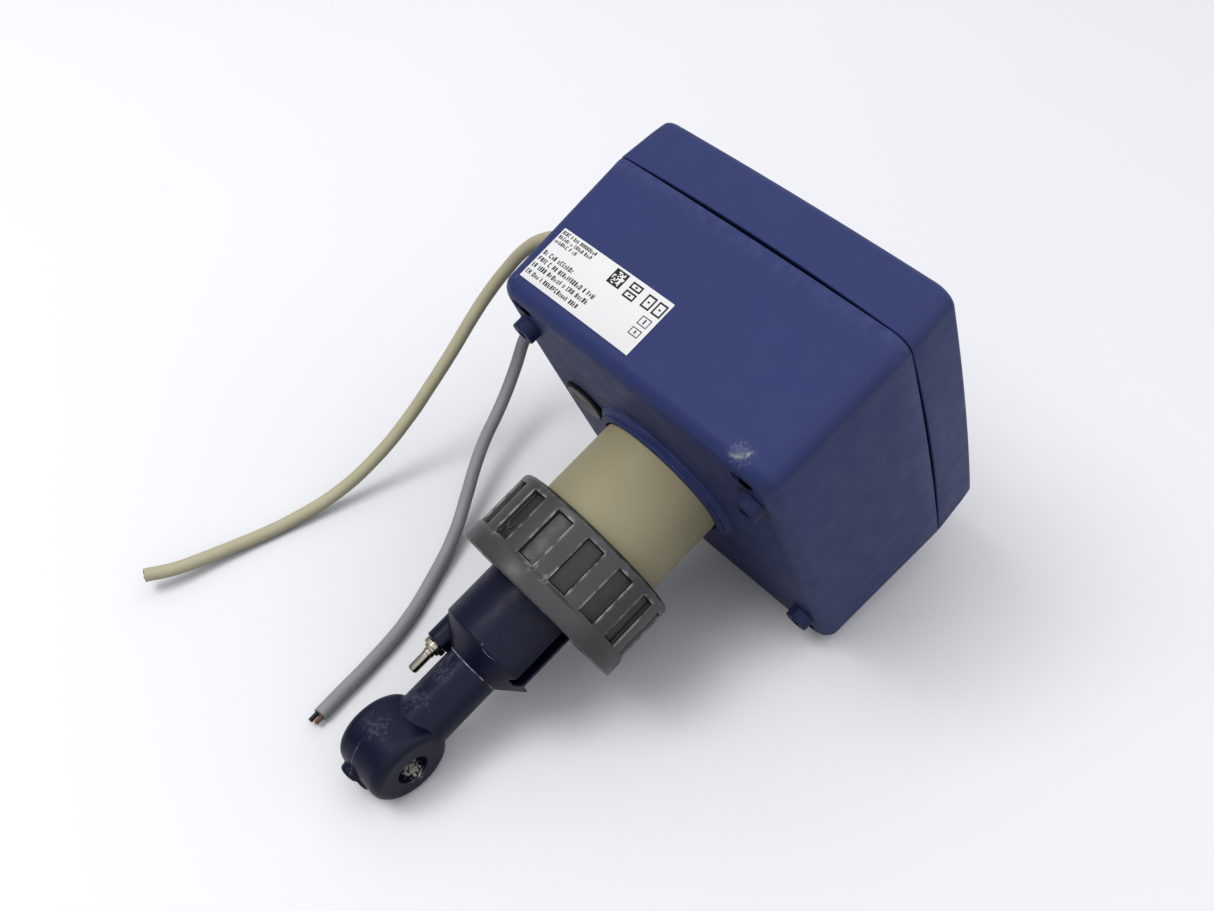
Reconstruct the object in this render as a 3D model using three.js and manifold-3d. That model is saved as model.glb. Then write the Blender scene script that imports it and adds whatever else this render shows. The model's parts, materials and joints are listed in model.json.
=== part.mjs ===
// Inductive conductivity transmitter: a plastic electronics housing with a screwed cover, a stem with a
// union nut, and a ring-headed sensor with a temperature probe. Two free cables leave the housing's side.
//
// Device frame, before the whole device is tipped into its resting pose:
//   x  along the stem: 0 is the housing's back face, the cover is at +x and the sensor at -x
//   y  across the housing: the cable glands are on the +y side
//   z  up the housing: the rating label is on the +z side
// Lengths are in millimetres.

import * as THREE from 'three';
import { mergeVertices } from 'three/addons/utils/BufferGeometryUtils.js';
import Module from 'manifold-3d';

const wasm = await Module();
wasm.setup();

// ---------------------------------------------------------------- driving dimensions

const GAP = 0.3;                     // clearance left between touching pieces
const FINEST_DETAIL = 0.01;          // edges shorter than this are closed up after a boolean
const HOUSING_WIDTH = 143.6;         // y, at the parting line
const HOUSING_HEIGHT = 160.7;        // z, at the parting line
const BASE_DEPTH = 68.4;
const COVER_DEPTH = 24;
const COVER_DOME = 1.4;
const WALL = 3.5;
const CORNER_RADIUS = 8;             // upright edges of the housing
const EDGE_RADIUS = 6;               // rim of the back face
const COVER_EDGE_RADIUS = 3;         // rim of the cover's front
const SIDE_BOW = 1.25;               // how far each side bulges at its middle
const BASE_DRAFT = 2.1;              // base is this much slimmer per side at its back face
const COVER_DRAFT = 1.5;

const STEM_Y = 2.65;                 // the stem's axis, beside and above the housing's middle
const STEM_Z = 1.3;
const TUBE_RADIUS = 29;
const SPIGOT_RADIUS = 20;            // threaded end of the tube that passes the housing wall
const SHANK_RADIUS = 16;             // sensor shank inside the tube
const SEAT_X = -0.6;                 // floor of the collar that takes the tube's shoulder and its seal
const TUBE_END = -50;
const FLANGE_END = -57;
const FLANGE_RADIUS = 33.4;

const NUT_RADIUS = 38.4;
const NUT_RIM_RADIUS = 39.4;
const NUT_OPEN_END = -75;
const NUT_RIM_TOP = -66.5;
const NUT_TOP = -39.8;
const NUT_POCKETS = 15;

const BODY_RADIUS = 23;
const BODY_END = -99.5;
const NECK_START = -108.8;
const NECK_RADIUS = 11.6;
const HEAD_X = -151;
const HEAD_RADIUS = 17;
const HEAD_THICKNESS = 26.5;
const HEAD_Y = 1.25;                 // the ring head sits a little off the stem's axis
const FLOW_HOLE_RADIUS = 6.3;

const CABLE_DIAMETER = 6;

const COARSE = 8;                    // sides of small holes and posts
const MEDIUM = 16;                   // sides of gland-sized rounds
const ROUND = 32;                    // sides of the stem, its nut and the sensor

// ---------------------------------------------------------------- materials

const plastic = (color, roughness = 0.55) => new THREE.MeshStandardMaterial({ color, roughness, metalness: 0 });
const metal = (color, roughness = 0.35) => new THREE.MeshStandardMaterial({ color, roughness, metalness: 0.9 });
const material = {
  housing: plastic('#3a4172'),
  sensor: plastic('#22263f', 0.45),
  tube: plastic('#aba888'),
  nut: plastic('#565654', 0.4),
  label: plastic('#f0f0ee', 0.6),
  greyPlug: plastic('#77776f'),
  gland: plastic('#6f7276'),
  rubber: plastic('#17181a', 0.8),
  steel: metal('#b9b7ae', 0.3),
  brass: metal('#b08d57'),
  screw: metal('#9a9b9d'),
  board: plastic('#2d5a3c', 0.5),
  terminal: plastic('#3f7f4e', 0.6),
  relay: plastic('#2b3f6b', 0.4),
  window: plastic('#c9d3da', 0.08),
  lcd: plastic('#7e8f78', 0.3),
  key: plastic('#d0d0cc', 0.6),
  ferrite: plastic('#4a3a33', 0.7),
  copper: metal('#b87346'),
  lead: plastic('#2a2a2c', 0.6),
  beigeCable: plastic('#b4b096', 0.6),
  greyCable: plastic('#96969b', 0.6),
  coreBlack: plastic('#16181a', 0.5),
  coreBrown: plastic('#6b4431', 0.5),
};

// ---------------------------------------------------------------- solids

function solid(geometry) {
  const bare = geometry.clone();
  bare.deleteAttribute('normal');
  bare.deleteAttribute('uv');
  const merged = mergeVertices(bare, 1e-4);
  const vertProperties = new Float32Array(merged.attributes.position.array);
  const triVerts = new Uint32Array(merged.index.array);
  return new wasm.Manifold(new wasm.Mesh({ numProp: 3, vertProperties, triVerts }));
}

function geometryOf(manifold) {
  const mesh = manifold.simplify(FINEST_DETAIL).getMesh();
  const geometry = new THREE.BufferGeometry();
  geometry.setAttribute('position', new THREE.BufferAttribute(new Float32Array(mesh.vertProperties), 3));
  geometry.setIndex(new THREE.BufferAttribute(new Uint32Array(mesh.triVerts), 1));
  geometry.computeVertexNormals();
  return geometry;
}

const join = (first, ...rest) => rest.reduce((sum, item) => sum.add(item), first);
const cut = (first, ...rest) => rest.reduce((left, item) => left.subtract(item), first);

// A box from its low corner to its high corner.
function block(x0, y0, z0, x1, y1, z1) {
  const geometry = new THREE.BoxGeometry(x1 - x0, y1 - y0, z1 - z0);
  return geometry.translate((x0 + x1) / 2, (y0 + y1) / 2, (z0 + z1) / 2);
}

// A turned piece about the x axis: profile points are [x, radius], closed by the axis or by itself.
// Its points are put in the order that makes the surface face outwards.
function turned(profile, segments = ROUND) {
  const points = profile.map(([x, radius]) => new THREE.Vector2(radius, x));
  if (THREE.ShapeUtils.area(points) < 0) points.reverse();
  const geometry = new THREE.LatheGeometry(points, segments);
  return geometry.applyMatrix4(new THREE.Matrix4().makeBasis(
    new THREE.Vector3(0, 0, 1), new THREE.Vector3(1, 0, 0), new THREE.Vector3(0, 1, 0)));
}

// A closed ring about the x axis.
const ring = (x0, x1, inner, outer, segments = ROUND) =>
  turned([[x0, inner], [x0, outer], [x1, outer], [x1, inner], [x0, inner]], segments);

// A plain rod along x.
const rod = (x0, x1, radius, segments = COARSE) =>
  turned([[x0, 0], [x0, radius], [x1, radius], [x1, 0]], segments);

// A hexagonal prism along x with a round bore.
function hexNut(x0, x1, acrossFlats, bore, segments) {
  const hex = solid(rod(x0, x1, acrossFlats / Math.sqrt(3), 6));
  return geometryOf(cut(hex, solid(rod(x0 - 1, x1 + 1, bore, segments))));
}

// Turns a piece made along x so that it runs along +y.
const alongY = (geometry) => geometry.rotateZ(Math.PI / 2);

// Outline of the housing at one depth: a rounded rectangle with bowed sides, as [y, z] points.
function housingOutline(halfWidth, halfHeight, radius, bow, arcSteps = 3, sideSteps = 4) {
  const corners = [[1, 1, 0], [-1, 1, 90], [-1, -1, 180], [1, -1, 270]];
  const points = [];
  corners.forEach(([signY, signZ, start], index) => {
    const centreY = signY * (halfWidth - radius);
    const centreZ = signZ * (halfHeight - radius);
    for (let step = 0; step <= arcSteps; step += 1) {
      const angle = THREE.MathUtils.degToRad(start + (90 * step) / arcSteps);
      points.push([centreY + radius * Math.cos(angle), centreZ + radius * Math.sin(angle)]);
    }
    const flatAlongY = index % 2 === 0;
    for (let step = 1; step < sideSteps; step += 1) {
      const t = (2 * step) / sideSteps - 1;
      const bulge = bow * (1 - t * t);
      if (flatAlongY) {
        points.push([-signY * t * (halfWidth - radius), signZ * (halfHeight + bulge)]);
      } else {
        points.push([signY * (halfWidth + bulge), -signZ * t * (halfHeight - radius)]);
      }
    }
  });
  return points;
}

// A closed solid through equal outlines placed at rising x; both ends are flat fans.
function loft(sections) {
  const count = sections[0].points.length;
  const positions = [];
  const indices = [];
  sections.forEach(({ x, points }) => points.forEach(([y, z]) => positions.push(x, y, z)));
  for (let level = 0; level + 1 < sections.length; level += 1) {
    for (let i = 0; i < count; i += 1) {
      const a = level * count + i;
      const b = level * count + ((i + 1) % count);
      indices.push(a, b, a + count, b, b + count, a + count);
    }
  }
  [0, sections.length - 1].forEach((level) => {
    const centre = positions.length / 3;
    positions.push(sections[level].x, 0, 0);
    for (let i = 0; i < count; i += 1) {
      const a = level * count + i;
      const b = level * count + ((i + 1) % count);
      indices.push(...(level === 0 ? [centre, b, a] : [centre, a, b]));
    }
  });
  const geometry = new THREE.BufferGeometry();
  geometry.setAttribute('position', new THREE.Float32BufferAttribute(positions, 3));
  geometry.setIndex(indices);
  return geometry;
}

// ---------------------------------------------------------------- assembly helpers

const device = new THREE.Group();

function place(parent, name, geometry, look, position = [0, 0, 0]) {
  const mesh = new THREE.Mesh(geometry, look.clone());
  mesh.name = name;
  mesh.position.set(...position);
  parent.add(mesh);
  return mesh;
}

const onStem = [0, STEM_Y, STEM_Z];

// ---------------------------------------------------------------- housing

const CORNERS = [[1, 1], [-1, 1], [-1, -1], [1, -1]];
const HALF_WIDTH = HOUSING_WIDTH / 2;
const HALF_HEIGHT = HOUSING_HEIGHT / 2;

const COVER_SCREW_Y = 62;            // cover screws sit in the housing's corners
const COVER_SCREW_Z = 70.5;
const LUG_Y = 59.3;                   // hollow mounting lugs on the back face
const LUG_Z = 56;
const LUG_RADIUS = 5.25;
const LUG_HEIGHT = 5;
const SLOT_Y = 57.5;                 // short slots between the lugs and the top and bottom edges
const SLOT_Z = 69.3;
const PLUG_Y = 47.5;
const PLUG_Z = 9.5;
const PLUG_RADIUS = 9.3;
const PLUG_THREAD_RADIUS = 6.5;

// One depth of the base: inset pulls the outline in on every side.
function baseSection(x, inset, radius = CORNER_RADIUS) {
  const draft = BASE_DRAFT * (1 - x / BASE_DEPTH);
  const points = housingOutline(HALF_WIDTH - draft - inset, HALF_HEIGHT - draft - inset, radius, SIDE_BOW);
  return { x, points };
}

function coverSection(x, inset, radius = CORNER_RADIUS) {
  const draft = (COVER_DRAFT * (x - BASE_DEPTH)) / COVER_DEPTH;
  const points = housingOutline(HALF_WIDTH - draft - inset, HALF_HEIGHT - draft - inset, radius, SIDE_BOW);
  return { x, points };
}

const BOARD_X = 24;                  // main board, on four posts of the base
const BOARD_POST_Y = 44;
const BOARD_POST_Z = 56;
const GASKET_X = 66.4;               // the cover gasket lies in a groove of the base's rim
const GLAND_HOLE_RADIUS = 8.2;
const GLANDS = [{ name: 'beige', x: 44, z: 30 }, { name: 'grey', x: 44, z: -14 }];

function makeBaseHousing() {
  const rim = [0, 45, 90].map((angle) => {
    const turn = THREE.MathUtils.degToRad(angle);
    const x = EDGE_RADIUS * (1 - Math.cos(turn));
    return baseSection(x, EDGE_RADIUS * (1 - Math.sin(turn)), CORNER_RADIUS);
  });
  const outer = solid(loft([...rim, baseSection(BASE_DEPTH / 2, 0), baseSection(BASE_DEPTH - GAP, 0)]));
  const room = solid(loft([baseSection(WALL, WALL, 5), baseSection(BASE_DEPTH + 1, WALL, 5)]));
  let body = cut(outer, room);
  const collar = turned([[1, 0], [1, 33], [-1, 32.2], [-3.2, 31.4], [-3.8, 30.6], [-3.8, 0]]);
  body = join(body, solid(collar.translate(...onStem)));
  CORNERS.forEach(([signY, signZ]) => {
    const post = rod(WALL - 1, BASE_DEPTH - 3, 5).translate(0, signY * COVER_SCREW_Y, signZ * COVER_SCREW_Z);
    const lug = rod(-LUG_HEIGHT, 1, LUG_RADIUS, MEDIUM).translate(0, signY * LUG_Y, signZ * LUG_Z);
    const boardPost = rod(WALL - 1, BOARD_X - GAP, 4);
    boardPost.translate(0, signY * BOARD_POST_Y, signZ * BOARD_POST_Z);
    body = join(body, solid(post), solid(lug), solid(boardPost));
  });
  const tools = [
    solid(rod(-10, 10, SPIGOT_RADIUS + GAP, ROUND).translate(...onStem)),
    solid(rod(-10, SEAT_X, TUBE_RADIUS + GAP, ROUND).translate(...onStem)),
    solid(rod(-10, 10, PLUG_THREAD_RADIUS + GAP, MEDIUM).translate(0, PLUG_Y, PLUG_Z)),
  ];
  GLANDS.forEach(({ x, z }) => {
    tools.push(solid(alongY(rod(HALF_WIDTH - 10, HALF_WIDTH + 10, GLAND_HOLE_RADIUS, MEDIUM)).translate(x, 0, z)));
  });
  CORNERS.forEach(([signY, signZ]) => {
    tools.push(solid(rod(-LUG_HEIGHT - 1, 3, 2.2).translate(0, signY * LUG_Y, signZ * LUG_Z)));
    tools.push(solid(rod(BASE_DEPTH - 20, BASE_DEPTH, 1.9)
      .translate(0, signY * COVER_SCREW_Y, signZ * COVER_SCREW_Z)));
    tools.push(solid(rod(BOARD_X - 9, BOARD_X + 1, 1.5)
      .translate(0, signY * BOARD_POST_Y, signZ * BOARD_POST_Z)));
    tools.push(solid(block(-1, -4.2, -2.3, 3, 4.2, 2.3).translate(0, signY * SLOT_Y, signZ * SLOT_Z)));
  });
  const grooveTop = BASE_DEPTH + 1;
  const grooveOuter = loft([baseSection(GASKET_X - GAP, 0.9, 7.1), baseSection(grooveTop, 0.9, 7.1)]);
  const grooveInner = loft([baseSection(GASKET_X - 1, 2.7, 5.3), baseSection(grooveTop + 1, 2.7, 5.3)]);
  tools.push(cut(solid(grooveOuter), solid(grooveInner)));
  return geometryOf(cut(body, ...tools));
}

function makeCoverGasket() {
  const outer = loft([baseSection(GASKET_X, 1.2, 6.8), baseSection(BASE_DEPTH - GAP, 1.2, 6.8)]);
  const inner = loft([baseSection(GASKET_X - 1, 2.4, 5.6), baseSection(BASE_DEPTH + 1, 2.4, 5.6)]);
  return geometryOf(cut(solid(outer), solid(inner)));
}

const WINDOW = { halfWidth: 41.7, low: 19.3, high: 58.7, back: 90.8, front: 92.8 };
const COVER_FRONT = BASE_DEPTH + COVER_DEPTH;
const SCREW_SEAT = 84;               // floor of the counterbore under each cover screw's head

function makeFrontCover() {
  const rim = [0, 45, 90].map((angle) => {
    const turn = THREE.MathUtils.degToRad(angle);
    const x = COVER_FRONT - COVER_EDGE_RADIUS * (1 - Math.sin(turn));
    return coverSection(x, COVER_EDGE_RADIUS * (1 - Math.cos(turn)), CORNER_RADIUS);
  });
  const crown = [[22, 0.7], [45, 1]].map(([inset, share]) => ({
    x: COVER_FRONT + COVER_DOME * share, points: coverSection(COVER_FRONT, inset, CORNER_RADIUS).points,
  }));
  const outer = solid(loft([coverSection(BASE_DEPTH, 0), ...rim, ...crown]));
  const room = solid(loft([coverSection(BASE_DEPTH - 1, WALL, 5), coverSection(COVER_FRONT - WALL, WALL, 5)]));
  let body = cut(outer, room);
  CORNERS.forEach(([signY, signZ]) => {
    const post = rod(BASE_DEPTH, COVER_FRONT - 1, 5.5);
    body = join(body, solid(post.translate(0, signY * COVER_SCREW_Y, signZ * COVER_SCREW_Z)));
  });
  body = body.intersect(solid(loft([coverSection(BASE_DEPTH, 0), ...rim, ...crown])));
  const tools = CORNERS.flatMap(([signY, signZ]) => [
    solid(rod(BASE_DEPTH - 1, COVER_FRONT + 5, 2.1).translate(0, signY * COVER_SCREW_Y, signZ * COVER_SCREW_Z)),
    solid(rod(SCREW_SEAT, COVER_FRONT + 5, 4.6, 12).translate(0, signY * COVER_SCREW_Y, signZ * COVER_SCREW_Z)),
  ]);
  const { halfWidth, low, high, back } = WINDOW;
  tools.push(solid(block(80, -halfWidth + 3, low + 3, 100, halfWidth - 3, high - 3)));
  tools.push(solid(block(back - GAP, -halfWidth - GAP, low - GAP, 100, halfWidth + GAP, high + GAP)));
  return geometryOf(cut(body, ...tools));
}

// Sheet that lies on the housing's bowed and drafted top side.
const LABEL = { x0: 7.6, x1: 32.3, y0: 2.8, y1: 62.7, thickness: 0.2 };

function topOfBase(x, y) {
  const draft = BASE_DRAFT * (1 - x / BASE_DEPTH);
  const t = y / (HALF_WIDTH - draft - CORNER_RADIUS);
  return HALF_HEIGHT - draft + SIDE_BOW * (1 - Math.min(1, t * t));
}

function makeLabel() {
  const { x0, x1, y0, y1, thickness } = LABEL;
  const geometry = new THREE.BoxGeometry(x1 - x0, y1 - y0, thickness, 1, 4, 1);
  geometry.translate((x0 + x1) / 2, (y0 + y1) / 2, thickness / 2);
  const at = geometry.attributes.position;
  for (let i = 0; i < at.count; i += 1) {
    at.setZ(i, at.getZ(i) + GAP + topOfBase(at.getX(i), at.getY(i)));
  }
  return geometry;
}

function makeBlankingPlug() {
  return turned([[-2.4, 0], [-2.4, PLUG_RADIUS - 0.6], [-1.9, PLUG_RADIUS], [-1.5, PLUG_RADIUS],
    [-1.5, PLUG_THREAD_RADIUS], [8, PLUG_THREAD_RADIUS], [8, 0]], MEDIUM);
}

place(device, 'base_housing', makeBaseHousing(), material.housing);
place(device, 'cover_gasket', makeCoverGasket(), material.rubber);
place(device, 'rating_label', makeLabel(), material.label);
place(device, 'blanking_plug', makeBlankingPlug(), material.greyPlug, [0, PLUG_Y, PLUG_Z]);
place(device, 'plug_gasket', ring(-1.2, -GAP, PLUG_THREAD_RADIUS + GAP, 10.5, MEDIUM), material.rubber,
  [0, PLUG_Y, PLUG_Z]);

place(device, 'front_cover', makeFrontCover(), material.housing);
place(device, 'display_window', block(WINDOW.back, -WINDOW.halfWidth, WINDOW.low,
  WINDOW.front, WINDOW.halfWidth, WINDOW.high), material.window);

// Pan-head screw along x with a cross recess: seat is where the underside of its head lies.
function makeScrew(seat, tip, shankRadius, headRadius, headHeight) {
  const body = solid(turned([[tip, 0], [tip + shankRadius, shankRadius], [seat, shankRadius], [seat, headRadius],
    [seat + headHeight * 0.6, headRadius], [seat + headHeight, headRadius * 0.75], [seat + headHeight, 0]], COARSE));
  const half = headRadius * 0.55;
  const slotDepth = headHeight * 0.5;
  const top = seat + headHeight;
  return geometryOf(cut(body,
    solid(block(top - slotDepth, -half, -0.5, top + 1, half, 0.5)),
    solid(block(top - slotDepth, -0.5, -half, top + 1, 0.5, half))));
}

CORNERS.forEach(([signY, signZ], index) => {
  place(device, `cover_screw_${index + 1}`, makeScrew(SCREW_SEAT + GAP, 52, 1.6, 4.2, 4), material.screw,
    [0, signY * COVER_SCREW_Y, signZ * COVER_SCREW_Z]);
});

// ---------------------------------------------------------------- electronics

const BOARD_THICKNESS = 1.6;
const BOARD_TOP = BOARD_X + BOARD_THICKNESS;
const ON_BOARD = BOARD_TOP + GAP;
const DISPLAY_X = 72;
const DISPLAY_TOP = DISPLAY_X + BOARD_THICKNESS;
const SPACER_Y = 30;
const SPACER_Z = [8, 56];
const KEY_Y = [-27, -9, 9, 27];
const KEY_Z = 12;
const KEY_TRAVEL = 0.8;

function makeMainBoard() {
  const tools = CORNERS.map(([signY, signZ]) => solid(
    rod(BOARD_X - 1, BOARD_TOP + 1, 1.7).translate(0, signY * BOARD_POST_Y, signZ * BOARD_POST_Z)));
  return geometryOf(cut(solid(block(BOARD_X, -52, -62, BOARD_TOP, 52, 62)), ...tools));
}

// A row of screw terminals: wire mouths on the +y side, screw wells on top.
function makeTerminalBlock(poles, pitch = 7.5) {
  const length = poles * pitch;
  const tools = [];
  for (let pole = 0; pole < poles; pole += 1) {
    const z = (pole + 0.5) * pitch;
    tools.push(solid(rod(8, 13, 2.2, 6).translate(0, 5, z)));
    tools.push(solid(block(2, 6, z - 2, 6, 12, z + 2)));
  }
  return geometryOf(cut(solid(block(0, 0, 0, 12, 11, length)), ...tools));
}

function makeRelay() {
  const can = solid(block(0, -9, -14, 15, 9, 14));
  return geometryOf(cut(can, solid(rod(14.4, 16, 1.2, 6).translate(0, 6, 10))));
}

function makeConverter() {
  const body = solid(block(0, -14, -15, 16, 14, 15));
  const core = solid(block(1, -9, -17, 14, 9, 17));
  return geometryOf(join(body, core));
}

function makeDisplayBoard() {
  return block(DISPLAY_X, -46, 2, DISPLAY_TOP, 46, 62);
}

function makeLcd() {
  const frame = solid(block(DISPLAY_TOP + GAP, -38, 22, 82, 38, 54));
  return geometryOf(cut(frame, solid(block(81.4, -34, 25, 90, 34, 51))));
}

function makeKey() {
  return turned([[0, 0], [0, 3.2], [1.4, 3.2], [1.4, 4.2], [5.4, 4.2], [6, 3.6], [6, 0]], 12);
}

place(device, 'main_board', makeMainBoard(), material.board);
[-58 + 8, -15, 20].forEach((z, index) => {
  place(device, `terminal_block_${index + 1}`, makeTerminalBlock(4), material.terminal, [ON_BOARD, 39, z]);
});
[-36, -4].forEach((z, index) => {
  place(device, `relay_${index + 1}`, makeRelay(), material.relay, [ON_BOARD, 2, z]);
});
place(device, 'power_converter', makeConverter(), material.lead, [ON_BOARD, -30, 30]);
CORNERS.forEach(([signY, signZ], index) => {
  place(device, `board_screw_${index + 1}`, makeScrew(ON_BOARD, BOARD_X - 7, 1.2, 3, 2), material.screw,
    [0, signY * BOARD_POST_Y, signZ * BOARD_POST_Z]);
});
SPACER_Z.forEach((z, row) => [-1, 1].forEach((side, column) => {
  place(device, `display_spacer_${row * 2 + column + 1}`, rod(ON_BOARD, DISPLAY_X - GAP, 2.6, 6), material.brass,
    [0, side * SPACER_Y, z]);
}));
place(device, 'display_board', makeDisplayBoard(), material.board);
place(device, 'lcd_panel', makeLcd(), material.lcd);
KEY_Y.forEach((y, index) => {
  place(device, `key_${index + 1}`, makeKey(), material.key, [DISPLAY_TOP + GAP + KEY_TRAVEL, y, KEY_Z]);
});

// ---------------------------------------------------------------- stem, union nut and sensor

const stem = new THREE.Group();
stem.position.set(...onStem);
device.add(stem);

const SHOULDER_X = -2.6;             // the tube's shoulder presses the stem seal into the collar
const SPIGOT_END = 16;
const SHANK_END = -20;
const ORING_RADIUS = 28.3;
const ORING_SECTION = 1.5;
const NUT_SHOULDER_X = -47.3;
const THREAD_RADIUS = 34.4;
const BORE_RADIUS = 7;

function makeStemTube() {
  const bore = SHANK_RADIUS + GAP;
  const groove = [ORING_RADIUS - 1.9, ORING_RADIUS + 1.9];
  return turned([[SPIGOT_END, bore], [SPIGOT_END, SPIGOT_RADIUS], [SHOULDER_X, SPIGOT_RADIUS],
    [SHOULDER_X, TUBE_RADIUS], [TUBE_END, TUBE_RADIUS], [TUBE_END, FLANGE_RADIUS],
    [FLANGE_END, FLANGE_RADIUS], [FLANGE_END, groove[1]], [FLANGE_END + 2.3, groove[1]],
    [FLANGE_END + 2.3, groove[0]], [FLANGE_END, groove[0]], [FLANGE_END, bore], [SPIGOT_END, bore]]);
}

function makeORing() {
  const centre = FLANGE_END + 0.5;
  const profile = [];
  for (let step = 0; step <= 6; step += 1) {
    const angle = (step * Math.PI) / 3;
    profile.push([centre + ORING_SECTION * Math.cos(angle), ORING_RADIUS + ORING_SECTION * Math.sin(angle)]);
  }
  profile[6] = [...profile[0]];
  return turned(profile);
}

function makeUnionNut() {
  const body = solid(turned([[NUT_OPEN_END, THREAD_RADIUS + 1.2], [NUT_OPEN_END, NUT_RIM_RADIUS - 0.5],
    [NUT_OPEN_END + 0.5, NUT_RIM_RADIUS], [NUT_RIM_TOP, NUT_RIM_RADIUS], [NUT_RIM_TOP + 0.8, NUT_RADIUS],
    [NUT_TOP - 4, NUT_RADIUS], [NUT_TOP - 1.2, NUT_RADIUS - 1.2], [NUT_TOP, NUT_RADIUS - 3.6],
    [NUT_TOP, TUBE_RADIUS + 0.6], [NUT_SHOULDER_X, TUBE_RADIUS + 0.6], [NUT_SHOULDER_X, THREAD_RADIUS],
    [NUT_OPEN_END + 1.2, THREAD_RADIUS], [NUT_OPEN_END, THREAD_RADIUS + 1.2]], 2 * NUT_POCKETS));
  const pockets = [];
  for (let index = 0; index < NUT_POCKETS; index += 1) {
    const pocket = block(NUT_RIM_TOP + 2, NUT_RADIUS - 1.6, -4, NUT_TOP - 6.5, NUT_RADIUS + 3, 4);
    pockets.push(solid(pocket.rotateX((index * 2 * Math.PI) / NUT_POCKETS)));
  }
  return geometryOf(cut(body, ...pockets));
}

const PROBE_Y = 18;                  // temperature probe beside the neck, on the sensor's far side
const PROBE_Z = 2;
const PROBE_BOSS_END = -112;
const FLAT_TURN = THREE.MathUtils.degToRad(30);      // the barrel's flat, turned from -y towards -z
const KEYWAY_TURN = THREE.MathUtils.degToRad(-15.8); // its keyway, turned from -y towards +z

function makeSensorBody() {
  const barrel = solid(turned([[SHANK_END, 0], [SHANK_END, SHANK_RADIUS], [FLANGE_END - GAP, SHANK_RADIUS],
    [FLANGE_END - GAP, BODY_RADIUS], [BODY_END, BODY_RADIUS], [NECK_START, NECK_RADIUS],
    [HEAD_X, NECK_RADIUS], [HEAD_X, 0]]));
  const half = HEAD_THICKNESS / 2;
  const round = 4;
  const head = turned([[-half, 0], [-half, HEAD_RADIUS - round], [-half + round * 0.3, HEAD_RADIUS - round * 0.3],
    [-half + round, HEAD_RADIUS], [half - round, HEAD_RADIUS], [half - round * 0.3, HEAD_RADIUS - round * 0.3],
    [half, HEAD_RADIUS - round], [half, 0]]);
  const boss = solid(rod(PROBE_BOSS_END, BODY_END + 6, 5.4, 12).translate(0, PROBE_Y, PROBE_Z));
  const gate = solid(rod(HEAD_X - HEAD_RADIUS - 2.6, HEAD_X - 10, 4.6, 12).translate(0, 5, 1));
  const outside = join(barrel, solid(alongY(head).translate(HEAD_X, HEAD_Y, 0)), boss, gate);
  const flat = block(BODY_END - 1, -40, -30, FLANGE_END - 4, 0, 30).translate(0, -BODY_RADIUS + 2.3, 0);
  const cavity = alongY(ring(-10.8, 10.8, 8.6, 13.9)).translate(HEAD_X, HEAD_Y, 0);
  const keyway = block(BODY_END - 2, -30, -2.3, -74, -16, 2.3);
  return geometryOf(cut(outside,
    solid(flat.rotateX(FLAT_TURN)),
    solid(keyway.rotateX(KEYWAY_TURN)),
    solid(cavity),
    solid(rod(HEAD_X + 11, SHANK_END + 1, BORE_RADIUS, MEDIUM)),
    solid(alongY(rod(-30, 30, FLOW_HOLE_RADIUS, MEDIUM)).translate(HEAD_X, 0, 0)),
    solid(rod(PROBE_BOSS_END - 1, PROBE_BOSS_END + 7, 2.9, 12).translate(0, PROBE_Y, PROBE_Z))));
}

const makeCoil = (y0, y1) => alongY(ring(y0, y1, 9, 13.5)).translate(HEAD_X, HEAD_Y, 0);

function makeProbe() {
  const face = PROBE_BOSS_END - GAP;
  return turned([[face + 6, 0], [face + 6, 2.5], [face, 2.5], [face, 4.7], [face - 2.4, 4.7], [face - 2.4, 3.4],
    [face - 3.6, 3.4], [face - 3.6, 2.1], [face - 10.4, 2.1], [face - 11, 1.4], [face - 11, 0]], 12);
}

place(stem, 'stem_seal', ring(-2.3, -0.9, SPIGOT_RADIUS + 0.6, 28.4), material.rubber);
place(stem, 'stem_tube', makeStemTube(), material.tube);
place(stem, 'stem_locknut', hexNut(WALL + GAP, WALL + 9, 50, SPIGOT_RADIUS + GAP, ROUND), material.greyPlug);
place(stem, 'process_o_ring', makeORing(), material.rubber);
place(stem, 'slip_ring', ring(TUBE_END + GAP, NUT_SHOULDER_X - GAP, TUBE_RADIUS + 0.5, 33.4), material.tube);
place(stem, 'union_nut', makeUnionNut(), material.nut);
place(stem, 'sensor_body', makeSensorBody(), material.sensor);
place(stem, 'transmit_coil', makeCoil(-10.2, -1), material.copper);
place(stem, 'receive_coil', makeCoil(1, 10.2), material.copper);
place(stem, 'temperature_probe', makeProbe(), material.steel, [0, PROBE_Y, PROBE_Z]);
place(stem, 'sensor_lead', rod(HEAD_X + 14.2, BOARD_X - GAP, 2.6), material.lead);

// ---------------------------------------------------------------- cable glands on the +y side

const GLAND_THREAD_RADIUS = 7.9;
const GLAND_BORE = 3.7;
const GLAND_STANDOFF = 0.8;          // the side is drafted, so the hexagon stands a little off it

function sideOfBase(x, z) {
  const draft = BASE_DRAFT * (1 - x / BASE_DEPTH);
  const t = z / (HALF_HEIGHT - draft - CORNER_RADIUS);
  return HALF_WIDTH - draft + SIDE_BOW * (1 - t * t);
}

function makeGlandBody() {
  const hex = solid(rod(0, 5, 11.5, 6));
  const thread = solid(rod(-14, 0.5, GLAND_THREAD_RADIUS, MEDIUM));
  const spigot = solid(rod(4.5, 11, 7.4, MEDIUM));
  return alongY(geometryOf(cut(join(hex, thread, spigot), solid(rod(-15, 12, GLAND_BORE, MEDIUM)),
    solid(rod(7, 12, 5.6, MEDIUM)))));
}

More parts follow.
